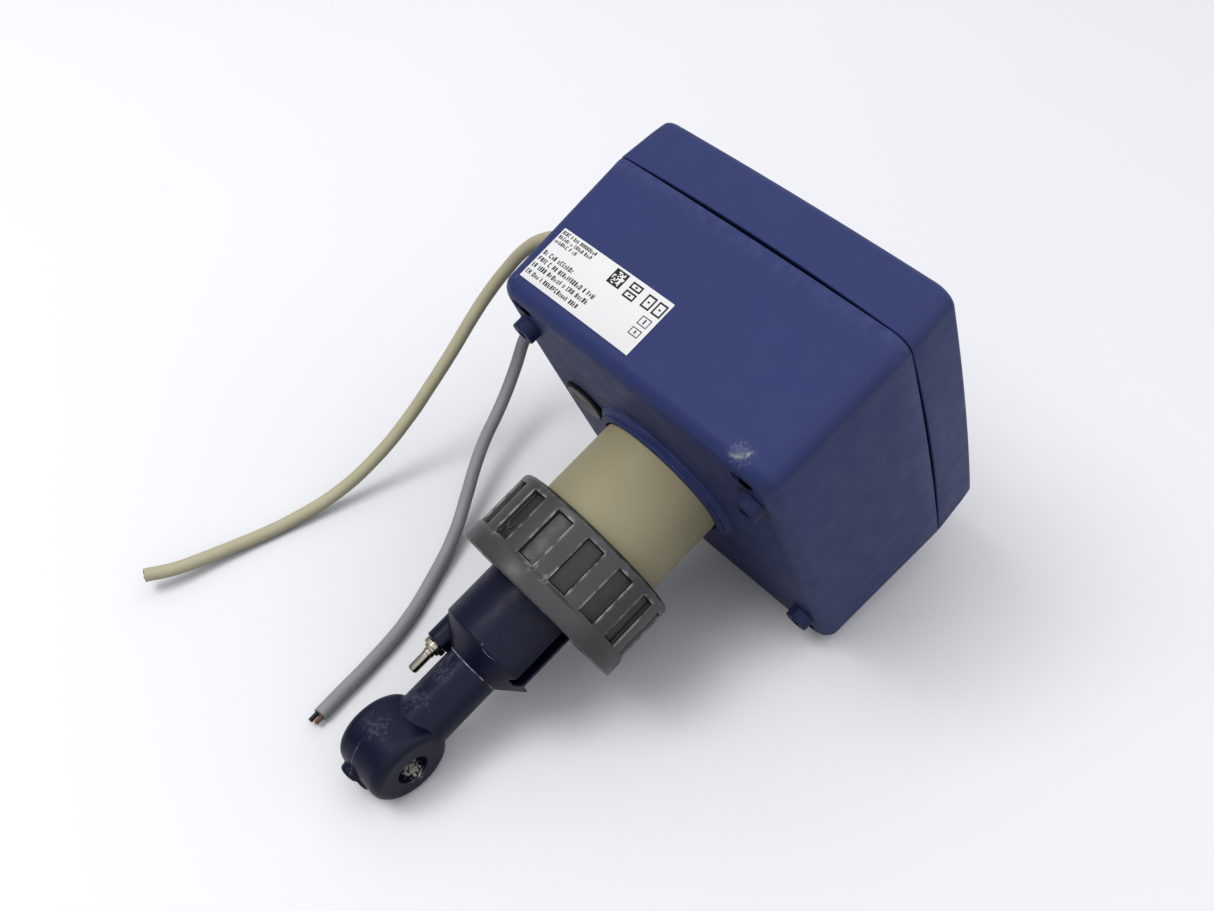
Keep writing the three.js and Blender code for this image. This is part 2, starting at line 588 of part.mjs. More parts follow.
function makeGlandNut() {
  const outer = solid(turned([[5.6, 0], [5.6, 9.8], [14, 9.8], [17, 8.8], [19.4, 6.4], [20, 4.6], [20, 0]], MEDIUM));
  const grip = solid(rod(5.6, 13, 10.6, 6));
  const inner = solid(turned([[4, 0], [4, 7.8], [13, 7.8], [16, 5.2], [16, GLAND_BORE], [21, GLAND_BORE],
    [21, 0]], MEDIUM));
  return alongY(geometryOf(cut(join(outer, grip), inner)));
}

GLANDS.forEach(({ name, x, z }) => {
  const gland = new THREE.Group();
  gland.position.set(x, sideOfBase(x, z) + GLAND_STANDOFF, z);
  device.add(gland);
  place(gland, `${name}_gland_body`, makeGlandBody(), material.gland);
  place(gland, `${name}_gland_seal`, alongY(ring(7.3, 12.4, 3.4, 5.2, MEDIUM)), material.rubber);
  place(gland, `${name}_gland_nut`, makeGlandNut(), material.gland);
  place(gland, `${name}_gland_locknut`, alongY(hexNut(-WALL - 6.2, -WALL - 1.3, 20,
    GLAND_THREAD_RADIUS + GAP, MEDIUM)), material.gland);
});

// ---------------------------------------------------------------- resting pose

// The device lies on its base's lower back edge and on its ring head: the line that touches both rounded
// shapes from below gives the tilt.
const heel = { x: EDGE_RADIUS, z: -(HALF_HEIGHT - BASE_DRAFT + SIDE_BOW) + EDGE_RADIUS, radius: EDGE_RADIUS };
const toe = { x: HEAD_X, z: STEM_Z, radius: HEAD_RADIUS };
const span = Math.hypot(heel.x - toe.x, heel.z - toe.z);
const slope = Math.atan2(toe.z - heel.z, heel.x - toe.x);
const REST_TILT = slope - Math.asin((toe.radius - heel.radius) / span);
device.rotation.y = -REST_TILT;

const assembly = new THREE.Group();
assembly.add(device);
assembly.updateMatrixWorld(true);
const extent = new THREE.Box3().setFromObject(device, true);
device.position.set(-(extent.min.x + extent.max.x) / 2, -(extent.min.y + extent.max.y) / 2, -extent.min.z);

// ---------------------------------------------------------------- free cables

// Each cable runs straight out of its gland, droops, and lies along the surface that the device rests on.
// Routes are in the resting frame: origin under the middle of the device's box, z up.
const FLOOR = CABLE_DIAMETER / 2 + 0.3;
const BEIGE_ROUTE = [
  [52.7, 57, 116.2], [52.7, 70, 116.2], [52.7, 82, 116.2], [52.5, 92, 114.8], [51.1, 102.5, 109], [47.7, 112.5, 98.8],
  [41.2, 118.5, 87.5], [32.4, 121.8, 76.5], [23.3, 122.8, 66.8], [10.9, 122.4, 55], [-3.3, 121.8, 43],
  [-17.3, 121.9, 31], [-37.9, 122.7, 17], [-59.8, 124.3, 7.7], [-84.2, 127.4, 3.6], [-96.3, 129.1, FLOOR],
  [-109.8, 131.1, 4], [-123.8, 132.9, 5.4], [-137.3, 134.7, 7.4], [-149.3, 138.2, 9.8],
];
const GREY_ROUTE = [
  [69.1, 57, 75.4], [69.1, 70, 75.4], [69.1, 82, 75.4], [67.9, 92, 74.2], [64.3, 101, 71], [59.3, 108.6, 64.8],
  [53.5, 113.6, 55.8], [46.9, 115.3, 45.5], [38.7, 112.6, 35.2], [29, 108.4, 27.2], [19.1, 103.8, 22],
  [7.7, 98.3, 18], [-4.6, 90.3, 14.8], [-16.1, 81.8, 11.2], [-33.1, 69.7, 6.4], [-55, 57.6, FLOOR],
  [-77.3, 46.6, FLOOR], [-100.3, 39.5, FLOOR], [-115.3, 36, FLOOR], [-128.3, 32.8, FLOOR],
];
const CORE_RADIUS = 1;
const CORE_LENGTH = 4;

function routeCurve(route) {
  return new THREE.CatmullRomCurve3(route.map((point) => new THREE.Vector3(...point)), false, 'centripetal');
}

function tubeAlong(curve, radius, sides, stepLength) {
  const section = new THREE.Shape().absarc(0, 0, radius, 0, 2 * Math.PI);
  const steps = Math.max(1, Math.round(curve.getLength() / stepLength));
  return new THREE.ExtrudeGeometry(section, {
    steps, curveSegments: sides / 2, bevelEnabled: false, extrudePath: curve,
  });
}

const cableTube = (curve) => tubeAlong(curve, CABLE_DIAMETER / 2, 10, 2 * CABLE_DIAMETER);

// Bare end of one conductor: it stands out of the cable's cut face, beside the cable's centre line.
function makeCore(curve, sideways) {
  const along = curve.getTangentAt(1);
  const across = new THREE.Vector3(-along.y, along.x, 0).multiplyScalar(sideways);
  const start = curve.getPointAt(1).add(across).addScaledVector(along, GAP);
  const end = start.clone().addScaledVector(along, CORE_LENGTH);
  return tubeAlong(new THREE.LineCurve3(start, end), CORE_RADIUS, COARSE, CORE_LENGTH);
}

const greyCurve = routeCurve(GREY_ROUTE);
place(assembly, 'beige_cable', cableTube(routeCurve(BEIGE_ROUTE)), material.beigeCable);
place(assembly, 'grey_cable', cableTube(greyCurve), material.greyCable);
place(assembly, 'grey_core_black', makeCore(greyCurve, -1.3), material.coreBlack);
place(assembly, 'grey_core_brown', makeCore(greyCurve, 1.3), material.coreBrown);

export default assembly;
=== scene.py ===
"""Looks of the inductive conductivity transmitter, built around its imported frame.

Shapes are made in the device's own coordinates, in millimetres, and then put where the frame has the device:
  x  along the stem: 0 is the housing's back face, the cover is at +x and the sensor at -x
  y  across the housing: the cable glands are on the +y side
  z  up the housing: the rating label is on the +z side
"""
import json
import math
import random

import bpy
from mathutils import Matrix, Vector

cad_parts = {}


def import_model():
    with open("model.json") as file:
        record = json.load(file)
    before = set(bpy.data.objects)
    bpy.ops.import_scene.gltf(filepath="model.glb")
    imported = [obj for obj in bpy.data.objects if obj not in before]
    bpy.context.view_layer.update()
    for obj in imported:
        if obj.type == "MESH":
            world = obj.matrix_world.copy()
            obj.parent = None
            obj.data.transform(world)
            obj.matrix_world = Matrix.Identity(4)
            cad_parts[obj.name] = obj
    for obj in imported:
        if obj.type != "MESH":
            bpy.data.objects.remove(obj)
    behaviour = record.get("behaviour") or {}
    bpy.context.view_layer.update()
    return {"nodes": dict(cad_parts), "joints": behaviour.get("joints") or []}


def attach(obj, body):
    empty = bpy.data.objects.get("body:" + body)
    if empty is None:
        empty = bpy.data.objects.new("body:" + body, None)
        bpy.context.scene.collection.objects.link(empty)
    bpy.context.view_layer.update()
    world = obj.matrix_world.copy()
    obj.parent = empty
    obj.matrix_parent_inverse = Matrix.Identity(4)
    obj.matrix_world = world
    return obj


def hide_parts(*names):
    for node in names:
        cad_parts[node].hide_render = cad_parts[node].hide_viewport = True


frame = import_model()
JOINTS = {joint["name"]: joint for joint in frame["joints"]}

# ---- the device's place in the frame

MM = 0.001
STEM_Y = 2.65
STEM_Z = 1.3
NUT_PIVOT_X = -60

STEM_DIRECTION = Vector(JOINTS["nut_spin"]["axis"])
REST_TILT = math.atan2(STEM_DIRECTION.z, STEM_DIRECTION.x)
TURN = Matrix.Rotation(-REST_TILT, 4, "Y")
PIVOT = Vector(JOINTS["nut_spin"]["pos_m"])
ORIGIN = PIVOT - TURN @ (Vector((NUT_PIVOT_X, STEM_Y, STEM_Z)) * MM)
DEVICE = Matrix.Translation(ORIGIN) @ TURN @ Matrix.Scale(MM, 4)


def world(x, y, z):
    """A device point, in millimetres, as a point of the frame, in metres."""
    return DEVICE @ Vector((x, y, z))


# ---- driving dimensions, in millimetres

HALF_WIDTH = 71.8
HALF_HEIGHT = 80.35
BASE_DEPTH = 68.4
BASE_RIM = 68.1
COVER_FRONT = 92.4
COVER_DOME = 1.4
WALL = 3.5
CORNER_RADIUS = 8
EDGE_RADIUS = 6
COVER_EDGE_RADIUS = 3
SIDE_BOW = 1.25
BASE_DRAFT = 2.1
COVER_DRAFT = 1.5
GAP_BOW = 1.1  # the parting gap is this much wider at the middle of each side

COVER_SCREW_AT = (62, 70.5)  # y and z, mirrored to the four corners, like the next three
LUG_AT = (59.3, 56)
SLOT_AT = (57.5, 69.3)
BOARD_POST_AT = (44, 56)
LUG_HEIGHT = 5
PLUG_Y = 47.5
PLUG_Z = 9.5
GLANDS = {"beige": (44, 30), "grey": (44, -14)}

TUBE_RADIUS = 29
TUBE_END = -50
FLANGE_END = -57
NUT_OPEN_END = -75
NUT_TOP = -39.8
NUT_RADIUS = 38.4
NUT_RIM_RADIUS = 39.4
NUT_POCKETS = 15
HEAD_X = -151
HEAD_Y = 1.25  # the ring head sits a little off the stem's axis
HEAD_RADIUS = 17
HEAD_THICKNESS = 26.5
HEAD_ROUND = 4.2
NECK_RADIUS = 11.6
BODY_RADIUS = 23
BODY_END = -99.5
NECK_START = -108.8
PROBE_Y = 18
PROBE_Z = 2
PROBE_BOSS_END = -112
CORNERS = [(1, 1), (-1, 1), (-1, -1), (1, -1)]

CABLE_DIAMETER = 0.006  # in metres, like the cables' routes and lengths


def mirrored(place, corner):
    """A place (y, z) of the corner (1, 1), as it lies at another corner."""
    return corner[0] * place[0], corner[1] * place[1]


# ---- camera and light

def put(target, **values):
    """Sets several attributes of one thing."""
    for key, value in values.items():
        setattr(target, key, value)
    return target


def linked(name, data):
    """A new object in the scene."""
    made = bpy.data.objects.new(name, data)
    bpy.context.scene.collection.objects.link(made)
    return made


def add_node(tree, kind, inputs=None, **settings):
    """The outputs of a new node, whose inputs are values or sockets to link."""
    made = put(tree.nodes.new(kind), **settings)
    for socket, value in (inputs or {}).items():
        if isinstance(value, bpy.types.NodeSocket):
            tree.links.new(value, made.inputs[socket])
        else:
            made.inputs[socket].default_value = value
    return made.outputs


def add_camera():
    camera = linked("camera", put(bpy.data.cameras.new("camera"), lens=37.0, sensor_width=36.0, clip_end=20.0))
    heading, pitch, roll = math.radians(-41.03), math.radians(-47.75), math.radians(-0.405)
    turn = Matrix.Rotation(heading, 4, "Z") @ Matrix.Rotation(math.pi / 2 + pitch, 4, "X")
    camera.matrix_world = Matrix.Translation((-0.2121, -0.2409, 0.4454)) @ turn @ Matrix.Rotation(roll, 4, "Z")
    bpy.context.scene.camera = camera


BRIGHT_SIDE = (0.33, -0.46, 0.82)  # the room is brightest in this direction
LIGHT_GAIN = 2.0  # the lights are this much stronger than white needs, so shaded sides fall off deeply


def srgb(red, green, blue):
    """A colour as it looks under the lights, 0 to 255 a channel, as the linear RGBA of the surface."""
    def linear(value):
        value /= 255
        return (value / 12.92 if value <= 0.04045 else ((value + 0.055) / 1.055) ** 2.4) / LIGHT_GAIN
    return (linear(red), linear(green), linear(blue), 1.0)


def add_area(name, place, size, power, glints=True):
    """A warm white lamp that looks at the device."""
    data = put(bpy.data.lights.new(name, "AREA"), size=size, energy=power, color=(1.0, 0.99, 0.97))
    aim = (Vector((0.0, 0.0, 0.05)) - Vector(place)).to_track_quat("-Z", "Y").to_euler()
    put(linked(name, data), location=place, visible_glossy=glints, rotation_euler=aim)


def add_light():
    scene = bpy.context.scene
    scene.view_settings.view_transform = "Standard"
    scene.view_settings.look = "Medium High Contrast"
    sky = bpy.data.worlds.new("soft_room")
    sky.use_nodes = True
    tree = sky.node_tree
    background = tree.nodes["Background"]
    background.inputs["Color"].default_value = (0.96, 0.97, 1.0, 1.0)
    direction = add_node(tree, "ShaderNodeTexCoord")["Generated"]
    toward = add_node(tree, "ShaderNodeVectorMath", {0: direction, 1: BRIGHT_SIDE}, operation="DOT_PRODUCT")["Value"]
    level = add_node(tree, "ShaderNodeMapRange", {"Value": toward, "From Min": -0.6, "To Min": 0.1, "To Max": 1.95})
    tree.links.new(level["Result"], background.inputs["Strength"])
    scene.world = sky
    add_area("window", (-0.75, 0.45, 1.6), 0.9, 23.0, glints=False)
    add_area("lamp", (-0.62, 0.5, 1.5), 0.35, 3.0)


# ---- materials

class Look:
    """A material whose node tree is built by short calls."""

    def __init__(self, name, roughness, metallic=0.0, specular=0.5, **sockets):
        self.material = put(bpy.data.materials.new(name), use_nodes=True)
        self.tree = self.material.node_tree
        self.shader = self.tree.nodes["Principled BSDF"]
        values = {"Roughness": roughness, "Metallic": metallic, "Specular IOR Level": specular, **sockets}
        for socket, value in values.items():
            self.shader.inputs[socket].default_value = value
        self.coordinates = self.node("ShaderNodeTexCoord")["Object"]
        self.color = None
        self.height = None

    def node(self, kind, inputs=None, **settings):
        return add_node(self.tree, kind, inputs, **settings)

    def noise(self, size, detail=3.0, roughness=0.5, stretch=(1, 1, 1)):
        """Noise with features of about that size, in metres."""
        scaled = self.node("ShaderNodeMapping", {"Vector": self.coordinates, "Scale": stretch})
        return self.node("ShaderNodeTexNoise", {
            "Vector": scaled[0], "Scale": 1 / size, "Detail": detail, "Roughness": roughness,
        })["Fac"]

    def remap(self, value, low, high, to_low=0.0, to_high=1.0):
        return self.node("ShaderNodeMapRange", {
            "Value": value, "From Min": low, "From Max": high, "To Min": to_low, "To Max": to_high,
        })["Result"]

    def math(self, operation, first, second=0.0):
        return self.node("ShaderNodeMath", {0: first, 1: second}, operation=operation)[0]

    def mix(self, factor, first, second):
        return self.node("ShaderNodeMix", {0: factor, 6: first, 7: second}, data_type="RGBA")[2]

    def vector(self, operation, first, second):
        """The outputs of a vector operation with a point or a direction of the frame."""
        return self.node("ShaderNodeVectorMath", {0: first, 1: tuple(second)}, operation=operation)

    def near(self, place, radius):
        """1 at a point of the frame, falling to 0 at that distance, in metres."""
        return self.remap(self.vector("DISTANCE", self.coordinates, place)["Value"], radius, 0.0)

    def band(self, x, half_width):
        """1 on the plane across the stem at that x, in millimetres, falling to 0 at the half width."""
        away = self.vector("SUBTRACT", self.coordinates, world(x, 0, 0))[0]
        along = self.vector("DOT_PRODUCT", away, STEM_DIRECTION)["Value"]
        return self.remap(self.math("ABSOLUTE", along), half_width * MM, 0.0)

    def arc_scratch(self, centre, radius, width, place, reach, color, strength=0.7):
        """A thin curved scratch: part of a circle round one point, kept near another point."""
        away = self.vector("DISTANCE", self.coordinates, centre)["Value"]
        off = self.math("ABSOLUTE", self.math("SUBTRACT", away, radius))
        line = self.math("MULTIPLY", self.remap(off, width, 0.0), self.remap(self.near(place, reach), 0.0, 0.4))
        broken = self.remap(self.noise(0.0011, detail=4.0), 0.38, 0.56, 0.0, strength)
        self.over(self.math("MULTIPLY", line, broken), color)

    def base(self, color, mottle=0.05, size=0.03):
        """The plain colour, a little darker and lighter from place to place."""
        darker = tuple(channel * (1 - mottle) for channel in color[:3]) + (1.0,)
        lighter = tuple(min(1.0, channel * (1 + mottle)) for channel in color[:3]) + (1.0,)
        self.color = self.mix(self.remap(self.noise(size), 0.3, 0.7), darker, lighter)

    def over(self, mask, color):
        self.color = self.mix(mask, self.color, color)

    def specks(self, size, share, color):
        """Tiny marks of another colour, spread thinly."""
        spots = self.noise(size, detail=1.0)
        self.over(self.remap(spots, 1 - share, 1 - share + 0.03), color)

    def pointed(self, start, end, strength):
        """From 0 to that strength as the surface gets as pointed as that; 0.5 is flat."""
        pointiness = self.node("ShaderNodeNewGeometry")["Pointiness"]
        return self.remap(pointiness, start, end, 0.0, strength)

    def worn_and_glinting_edges(self, color, strength, start=0.53, where=1.0):
        """Convex edges turned another colour, where that mask allows: rubbed wear on the housing and sensor, a
        painted highlight on the nut.
        """
        edge = self.pointed(start, start + 0.07, strength)
        patchy = self.math("MULTIPLY", edge, self.remap(self.noise(0.004), 0.4, 0.6))
        self.over(self.math("MULTIPLY", patchy, where), color)

    def painted_crease_shade(self, color, strength, start=0.47):
        """Painted shade in concave edges and creases, darker where the surface hollows in."""
        self.over(self.pointed(start, start - 0.05, strength), color)

    def from_stem(self):
        """Distance from the stem's axis, in metres."""
        away = self.vector("SUBTRACT", self.coordinates, world(0, STEM_Y, STEM_Z))[0]
        across = self.vector("CROSS_PRODUCT", away, STEM_DIRECTION)[0]
        return self.vector("LENGTH", across, (0, 0, 0))["Value"]

    def painted_hollow_shade(self, place, radius, color, strength=1.0):
        """Painted shade inside and round a hollow, darker from that far round its middle, in metres."""
        self.over(self.remap(self.near(place, radius), 0.0, 0.15, 0.0, strength), color)

    def scuff(self, place, radius, color, size=0.0012, stretch=(1, 1, 1), threshold=0.5, strength=0.8):
        """Ragged marks near one point of the frame."""
        ragged = self.noise(size, detail=5.0, roughness=0.65, stretch=stretch)
        lifted = self.math("ADD", ragged, self.math("MULTIPLY", self.near(place, radius), 0.28))
        mask = self.remap(lifted, threshold + 0.14, threshold + 0.24, 0.0, strength)
        self.over(self.math("MULTIPLY", mask, self.remap(self.near(place, radius), 0.0, 0.35)), color)

    def grain(self, size, depth):
        """Fine surface relief, its depth in metres."""
        fine = self.math("MULTIPLY", self.noise(size, detail=2.0), depth)
        self.height = fine if self.height is None else self.math("ADD", self.height, fine)

    def uneven_gloss(self, roughness, spread, size=0.01):
        level = self.remap(self.noise(size, detail=4.0), 0.3, 0.7, roughness - spread, roughness + spread)
        self.tree.links.new(level, self.shader.inputs["Roughness"])

    def done(self):
        self.tree.links.new(self.color, self.shader.inputs["Base Color"])
        if self.height is not None:
            bump = self.node("ShaderNodeBump", {"Height": self.height, "Distance": 1.0, "Strength": 1.0})
            self.tree.links.new(bump["Normal"], self.shader.inputs["Normal"])
        return self.material


SCRATCH = srgb(186, 188, 200)


def housing_look():
    look = Look("housing_plastic", 0.5, specular=0.2)
    look.base(srgb(50, 60, 106), mottle=0.04, size=0.05)
    look.specks(0.0011, 0.225, srgb(90, 98, 140))
    # painted shade in the housing's creases, such as where the collar and lugs meet the back face
    look.painted_crease_shade(srgb(16, 20, 44), 0.6)
    look.worn_and_glinting_edges(srgb(104, 110, 146), 0.12)
    look.scuff(world(5, -54.5, 79), 0.0062, srgb(96, 104, 132), threshold=0.44, strength=0.6)
    look.arc_scratch(world(9.2, -51, 80), 0.0064, 0.0012, world(4, -55.5, 78), 0.0052, srgb(150, 154, 150), 0.8)
    look.scuff(world(40, -73, 40), 0.03, srgb(84, 90, 124), size=0.0016, threshold=0.6, strength=0.2)
    look.scuff(world(3, 66, 70), 0.016, srgb(110, 116, 146), size=0.002, threshold=0.57, strength=0.4)
    look.scuff(world(30, -60, -40), 0.02, srgb(96, 104, 140), threshold=0.64, strength=0.5)
    # painted shade round each lug, in its screw hole and in the slot beside it
    for corner in CORNERS:
        lug = world(-LUG_HEIGHT / 2, *mirrored(LUG_AT, corner))
        look.painted_hollow_shade(lug, 0.009, srgb(22, 28, 62), 0.6)
        look.painted_hollow_shade(lug, 0.0029, srgb(4, 5, 10))
        look.painted_hollow_shade(world(3.6, *mirrored(SLOT_AT, corner)), 0.0056, srgb(3, 4, 8))
    look.uneven_gloss(0.5, 0.05)
    look.grain(0.0006, 0.000012)
    return look.done()


def sensor_look():
    look = Look("sensor_plastic", 0.36, specular=0.2)
    look.base(srgb(16, 22, 47), mottle=0.1, size=0.02)
    look.specks(0.0007, 0.235, srgb(84, 90, 116))
    look.worn_and_glinting_edges(srgb(104, 110, 130), 0.2)
    on_neck = look.remap(look.near(world(NECK_START, STEM_Y, STEM_Z), 0.0128), 0.0, 0.04)
    flash = look.math("MULTIPLY", look.band(NECK_START, 0.38), on_neck)
    look.over(look.math("MULTIPLY", flash, look.remap(look.noise(0.004, detail=5.0), 0.4, 0.62, 0.0, 0.8)), SCRATCH)
    look.arc_scratch(world(-97, -12, 27), 0.0085, 0.00035, world(-103, -8, 22), 0.006, SCRATCH, 0.9)
    look.arc_scratch(world(-95, -14, 27), 0.0075, 0.0003, world(-101, -14, 20), 0.0055, SCRATCH, 0.8)
    for place, radius in ((world(-118, 6, 13), 0.009), (world(-131, 6, 12), 0.01), (world(-112, 8, 12), 0.006)):
        look.scuff(place, radius, srgb(110, 114, 130),
                   size=0.0016, stretch=(1.0, 2.6, 1.2), threshold=0.53, strength=0.3)
    look.scuff(world(-148, 6, 18), 0.012, srgb(84, 90, 112), size=0.0016, threshold=0.55, strength=0.35)
    look.arc_scratch(world(HEAD_X, -30, STEM_Z), 0.0402, 0.00025, world(-163, 7, 12), 0.011, srgb(150, 152, 166), 0.7)
    look.scuff(world(HEAD_X - 1, -5, STEM_Z - 6.5), 0.0062, srgb(214, 212, 200),
               size=0.0011, threshold=0.47, strength=0.95)
    look.uneven_gloss(0.36, 0.07, size=0.006)
    look.grain(0.0009, 0.000016)
    return look.done()


def nut_look():
    look = Look("nut_plastic", 0.32, specular=0.4)
    look.base(srgb(62, 62, 62), mottle=0.1, size=0.012)
    look.specks(0.0009, 0.235, srgb(104, 104, 102))
    # painted shade on the nut's pocket floors, darker the deeper they sit
    pocket_floor_shade = look.remap(look.from_stem(), (NUT_RADIUS - 0.4) * MM, (NUT_RADIUS - 1.4) * MM, 0.0, 0.8)
    look.over(pocket_floor_shade, srgb(34, 34, 34))
    # painted shade in the creases at the nut's pocket edges
    look.painted_crease_shade(srgb(8, 8, 8), 1.0, start=0.492)
    # painted highlight along the nut's pocket edges, kept off the rim, and a weaker painted highlight on its other
    # convex edges
    below_rim = look.remap(look.from_stem(), (NUT_RADIUS + 0.45) * MM, (NUT_RADIUS + 0.15) * MM)
    look.worn_and_glinting_edges(srgb(190, 190, 186), 1.0, start=0.509, where=below_rim)
    look.worn_and_glinting_edges(srgb(150, 150, 147), 0.5)
    for angle in (68, 101, 113):
        turn = math.radians(angle)
        place = world(-66, STEM_Y + NUT_RADIUS * math.cos(turn), STEM_Z + NUT_RADIUS * math.sin(turn))
        look.scuff(place, 0.005, srgb(140, 140, 137), size=0.0011, threshold=0.53, strength=0.5)
    look.uneven_gloss(0.32, 0.07, size=0.005)
    look.grain(0.0005, 0.00001)
    return look.done()


def tube_look():
    look = Look("tube_plastic", 0.5, specular=0.25)
    look.base(srgb(160, 153, 126), mottle=0.03, size=0.03)
    look.specks(0.001, 0.22, srgb(140, 134, 108))
    look.scuff(world(-20, 4, 30), 0.02, srgb(150, 144, 116),
               size=0.003, stretch=(1, 4, 4), threshold=0.6, strength=0.3)
    look.uneven_gloss(0.5, 0.05)
    look.grain(0.0004, 0.000008)
    return look.done()


def plain_look(name, color, roughness, specular=0.4, mottle=0.05, size=0.01, grain=0.000008, **sockets):
    look = Look(name, roughness, specular=specular, **sockets)
    look.base(color, mottle=mottle, size=size)
    look.uneven_gloss(roughness, min(0.06, roughness / 3), size=size / 2)
    look.grain(0.0005, grain)
    return look.done()


def metal_look(name, color, roughness):
    look = Look(name, roughness, metallic=1.0)
    look.base(color, mottle=0.1, size=0.004)
    look.uneven_gloss(roughness, roughness / 3, size=0.002)
    look.grain(0.0003, 0.000006)
    return look.done()


def board_look():
    """Green solder mask with paler copper tracks showing through."""
    look = Look("board", 0.35, specular=0.5)
    look.base(srgb(28, 84, 48), mottle=0.1, size=0.01)
    tracks = look.node("ShaderNodeTexBrick", {
        "Vector": look.coordinates, "Scale": 190.0, "Mortar Size": 0.05,
        "Color1": (0, 0, 0, 1), "Color2": (0, 0, 0, 1), "Mortar": (1, 1, 1, 1),
    })["Color"]
    look.over(look.math("MULTIPLY", tracks, 0.5), srgb(60, 128, 78))
    look.grain(0.0008, 0.00001)
    return look.done()


def lcd_look():
    """A pale display face with faint segment columns."""
    look = Look("lcd_face", 0.12, specular=0.6)
    look.base(srgb(146, 156, 132), mottle=0.05, size=0.02)
    columns = look.node("ShaderNodeTexWave", {"Vector": look.coordinates, "Scale": 60.0}, bands_direction="Y")
    look.over(look.math("MULTIPLY", columns["Fac"], 0.12), srgb(96, 106, 88))
    look.grain(0.002, 0.000002)
    return look.done()


def floor_look():
    look = Look("floor", 0.7, specular=0.2)
    look.base(srgb(229, 229, 232), mottle=0.01, size=0.4)
    look.grain(0.003, 0.00001)
    return look.done()


def window_look():
    look = Look("window_clear", 0.05, specular=0.6, Alpha=0.16)
    look.base(srgb(176, 184, 190), mottle=0.02, size=0.03)
    look.grain(0.01, 0.000002)
    return look.done()


# ---- mesh building

def outline(half_y, half_z, radius, arc=9, side=14):
    """[y, z] points of a rounded rectangle whose sides bow outwards, the same number at any size."""
    points = []
    for index, (sign_y, sign_z) in enumerate(CORNERS):
        start = 90 * index
        points += arc_points(sign_y * (half_y - radius), sign_z * (half_z - radius), radius, start, start + 90, arc)
        for step in range(1, side):
            along = 2 * step / side - 1
            bulge = SIDE_BOW * (1 - along * along)
            if index % 2 == 0:
                points.append((-sign_y * along * (half_y - radius), sign_z * (half_z + bulge)))
            else:
                points.append((sign_y * (half_y + bulge), -sign_z * along * (half_z - radius)))
    return points


def skin(rings, closed=False):
    """A surface through rings of the same number of points: capped at both ends, or joined end to end."""
    count = len(rings[0])
    vertices = [point for ring in rings for point in ring]
    faces = []
    last = len(rings) if closed else len(rings) - 1
    for level in range(last):
        upper = (level + 1) % len(rings)
        for step in range(count):
            turn = (step + 1) % count
            faces.append((level * count + step, level * count + turn, upper * count + turn, upper * count + step))
    if not closed:
        faces.append(tuple(reversed(range(count))))
        faces.append(tuple((len(rings) - 1) * count + step for step in range(count)))
    return vertices, faces


def loft(sections):
    """A capped solid through outlines, each given as (x, points) or (function of y and z, points)."""
    return skin([[((x(y, z) if callable(x) else x), y, z) for y, z in points] for x, points in sections])


def turned(profile, segments=96, radius_at=None, closed=False, angles=None):
    """A solid turned about x from [x, radius] points, in equal steps or at those angles.

    radius_at(index, x, radius, angle) may shape each point.
    """
    angles = angles or [2 * math.pi * step / segments for step in range(segments)]
    rings = []
    for index, (x, radius) in enumerate(profile):
        ring = []
        for angle in angles:
            shaped = radius_at(index, x, radius, angle) if radius_at else radius
            ring.append((x, shaped * math.cos(angle), shaped * math.sin(angle)))
        rings.append(ring)
    return skin(rings, closed)


def rod(x0, x1, radius, segments=48, ease=0.0):
    """A cylinder along x, its end edges eased by a small round."""
    if not ease:
        return turned([(x0, radius), (x1, radius)], segments)
    return turned(eased_ends(x0, x1, radius, ease), segments)


def arc_points(x, radius, size, start, end, steps=4):
    """Points of an arc round (x, radius): 0 degrees points to +x, 90 degrees away from the axis."""
    points = []
    for step in range(steps + 1):
        angle = math.radians(start + (end - start) * step / steps)
        points.append((x + size * math.cos(angle), radius + size * math.sin(angle)))
    return points


def eased_ends(x0, x1, radius, ease, steps=4):
    """Profile points of a cylinder with rounded ends."""
    return (arc_points(x0 + ease, radius - ease, ease, 180, 90, steps)
            + arc_points(x1 - ease, radius - ease, ease, 90, 0, steps))


def ring_solid(x0, x1, inner, outer, segments=96, ease=0.3):
    bore = arc_points(x1 - ease, inner + ease, ease, 0, -90) + arc_points(x0 + ease, inner + ease, ease, 270, 180)
    return turned(eased_ends(x0, x1, outer, ease) + bore, segments, closed=True)


def block(x0, x1, y0, y1, z0, z1, radius=0.6):
    """A box with rounded edges along x."""
    points = []
    for index, (sign_y, sign_z) in enumerate(CORNERS):
        y = (y1 if sign_y > 0 else y0) - sign_y * radius
        z = (z1 if sign_z > 0 else z0) - sign_z * radius
        points += arc_points(y, z, radius, 90 * index, 90 * index + 90, 5)
    return loft([(x0, points), (x1, points)])


def moved(shape, x=0.0, y=0.0, z=0.0):
    vertices, faces = shape
    return [(a + x, b + y, c + z) for a, b, c in vertices], faces


def on_stem(shape):
    return moved(shape, 0, STEM_Y, STEM_Z)


def at_corner(shape, place, corner):
    return moved(shape, 0, *mirrored(place, corner))


def along_y(shape):
    """Turns a shape made along x so that it runs along +y."""
    vertices, faces = shape
    return [(-b, a, c) for a, b, c in vertices], faces


def rolled(shape, degrees):
    """Turns a shape about x: a positive angle takes -y towards -z."""
    vertices, faces = shape
    cosine, sine = math.cos(math.radians(degrees)), math.sin(math.radians(degrees))
    return [(a, b * cosine - c * sine, b * sine + c * cosine) for a, b, c in vertices], faces


def joined(*shapes):
    vertices, faces = [], []
    for shape_vertices, shape_faces in shapes:
        start = len(vertices)
        vertices += shape_vertices
        faces += [tuple(index + start for index in face) for face in shape_faces]
    return vertices, faces


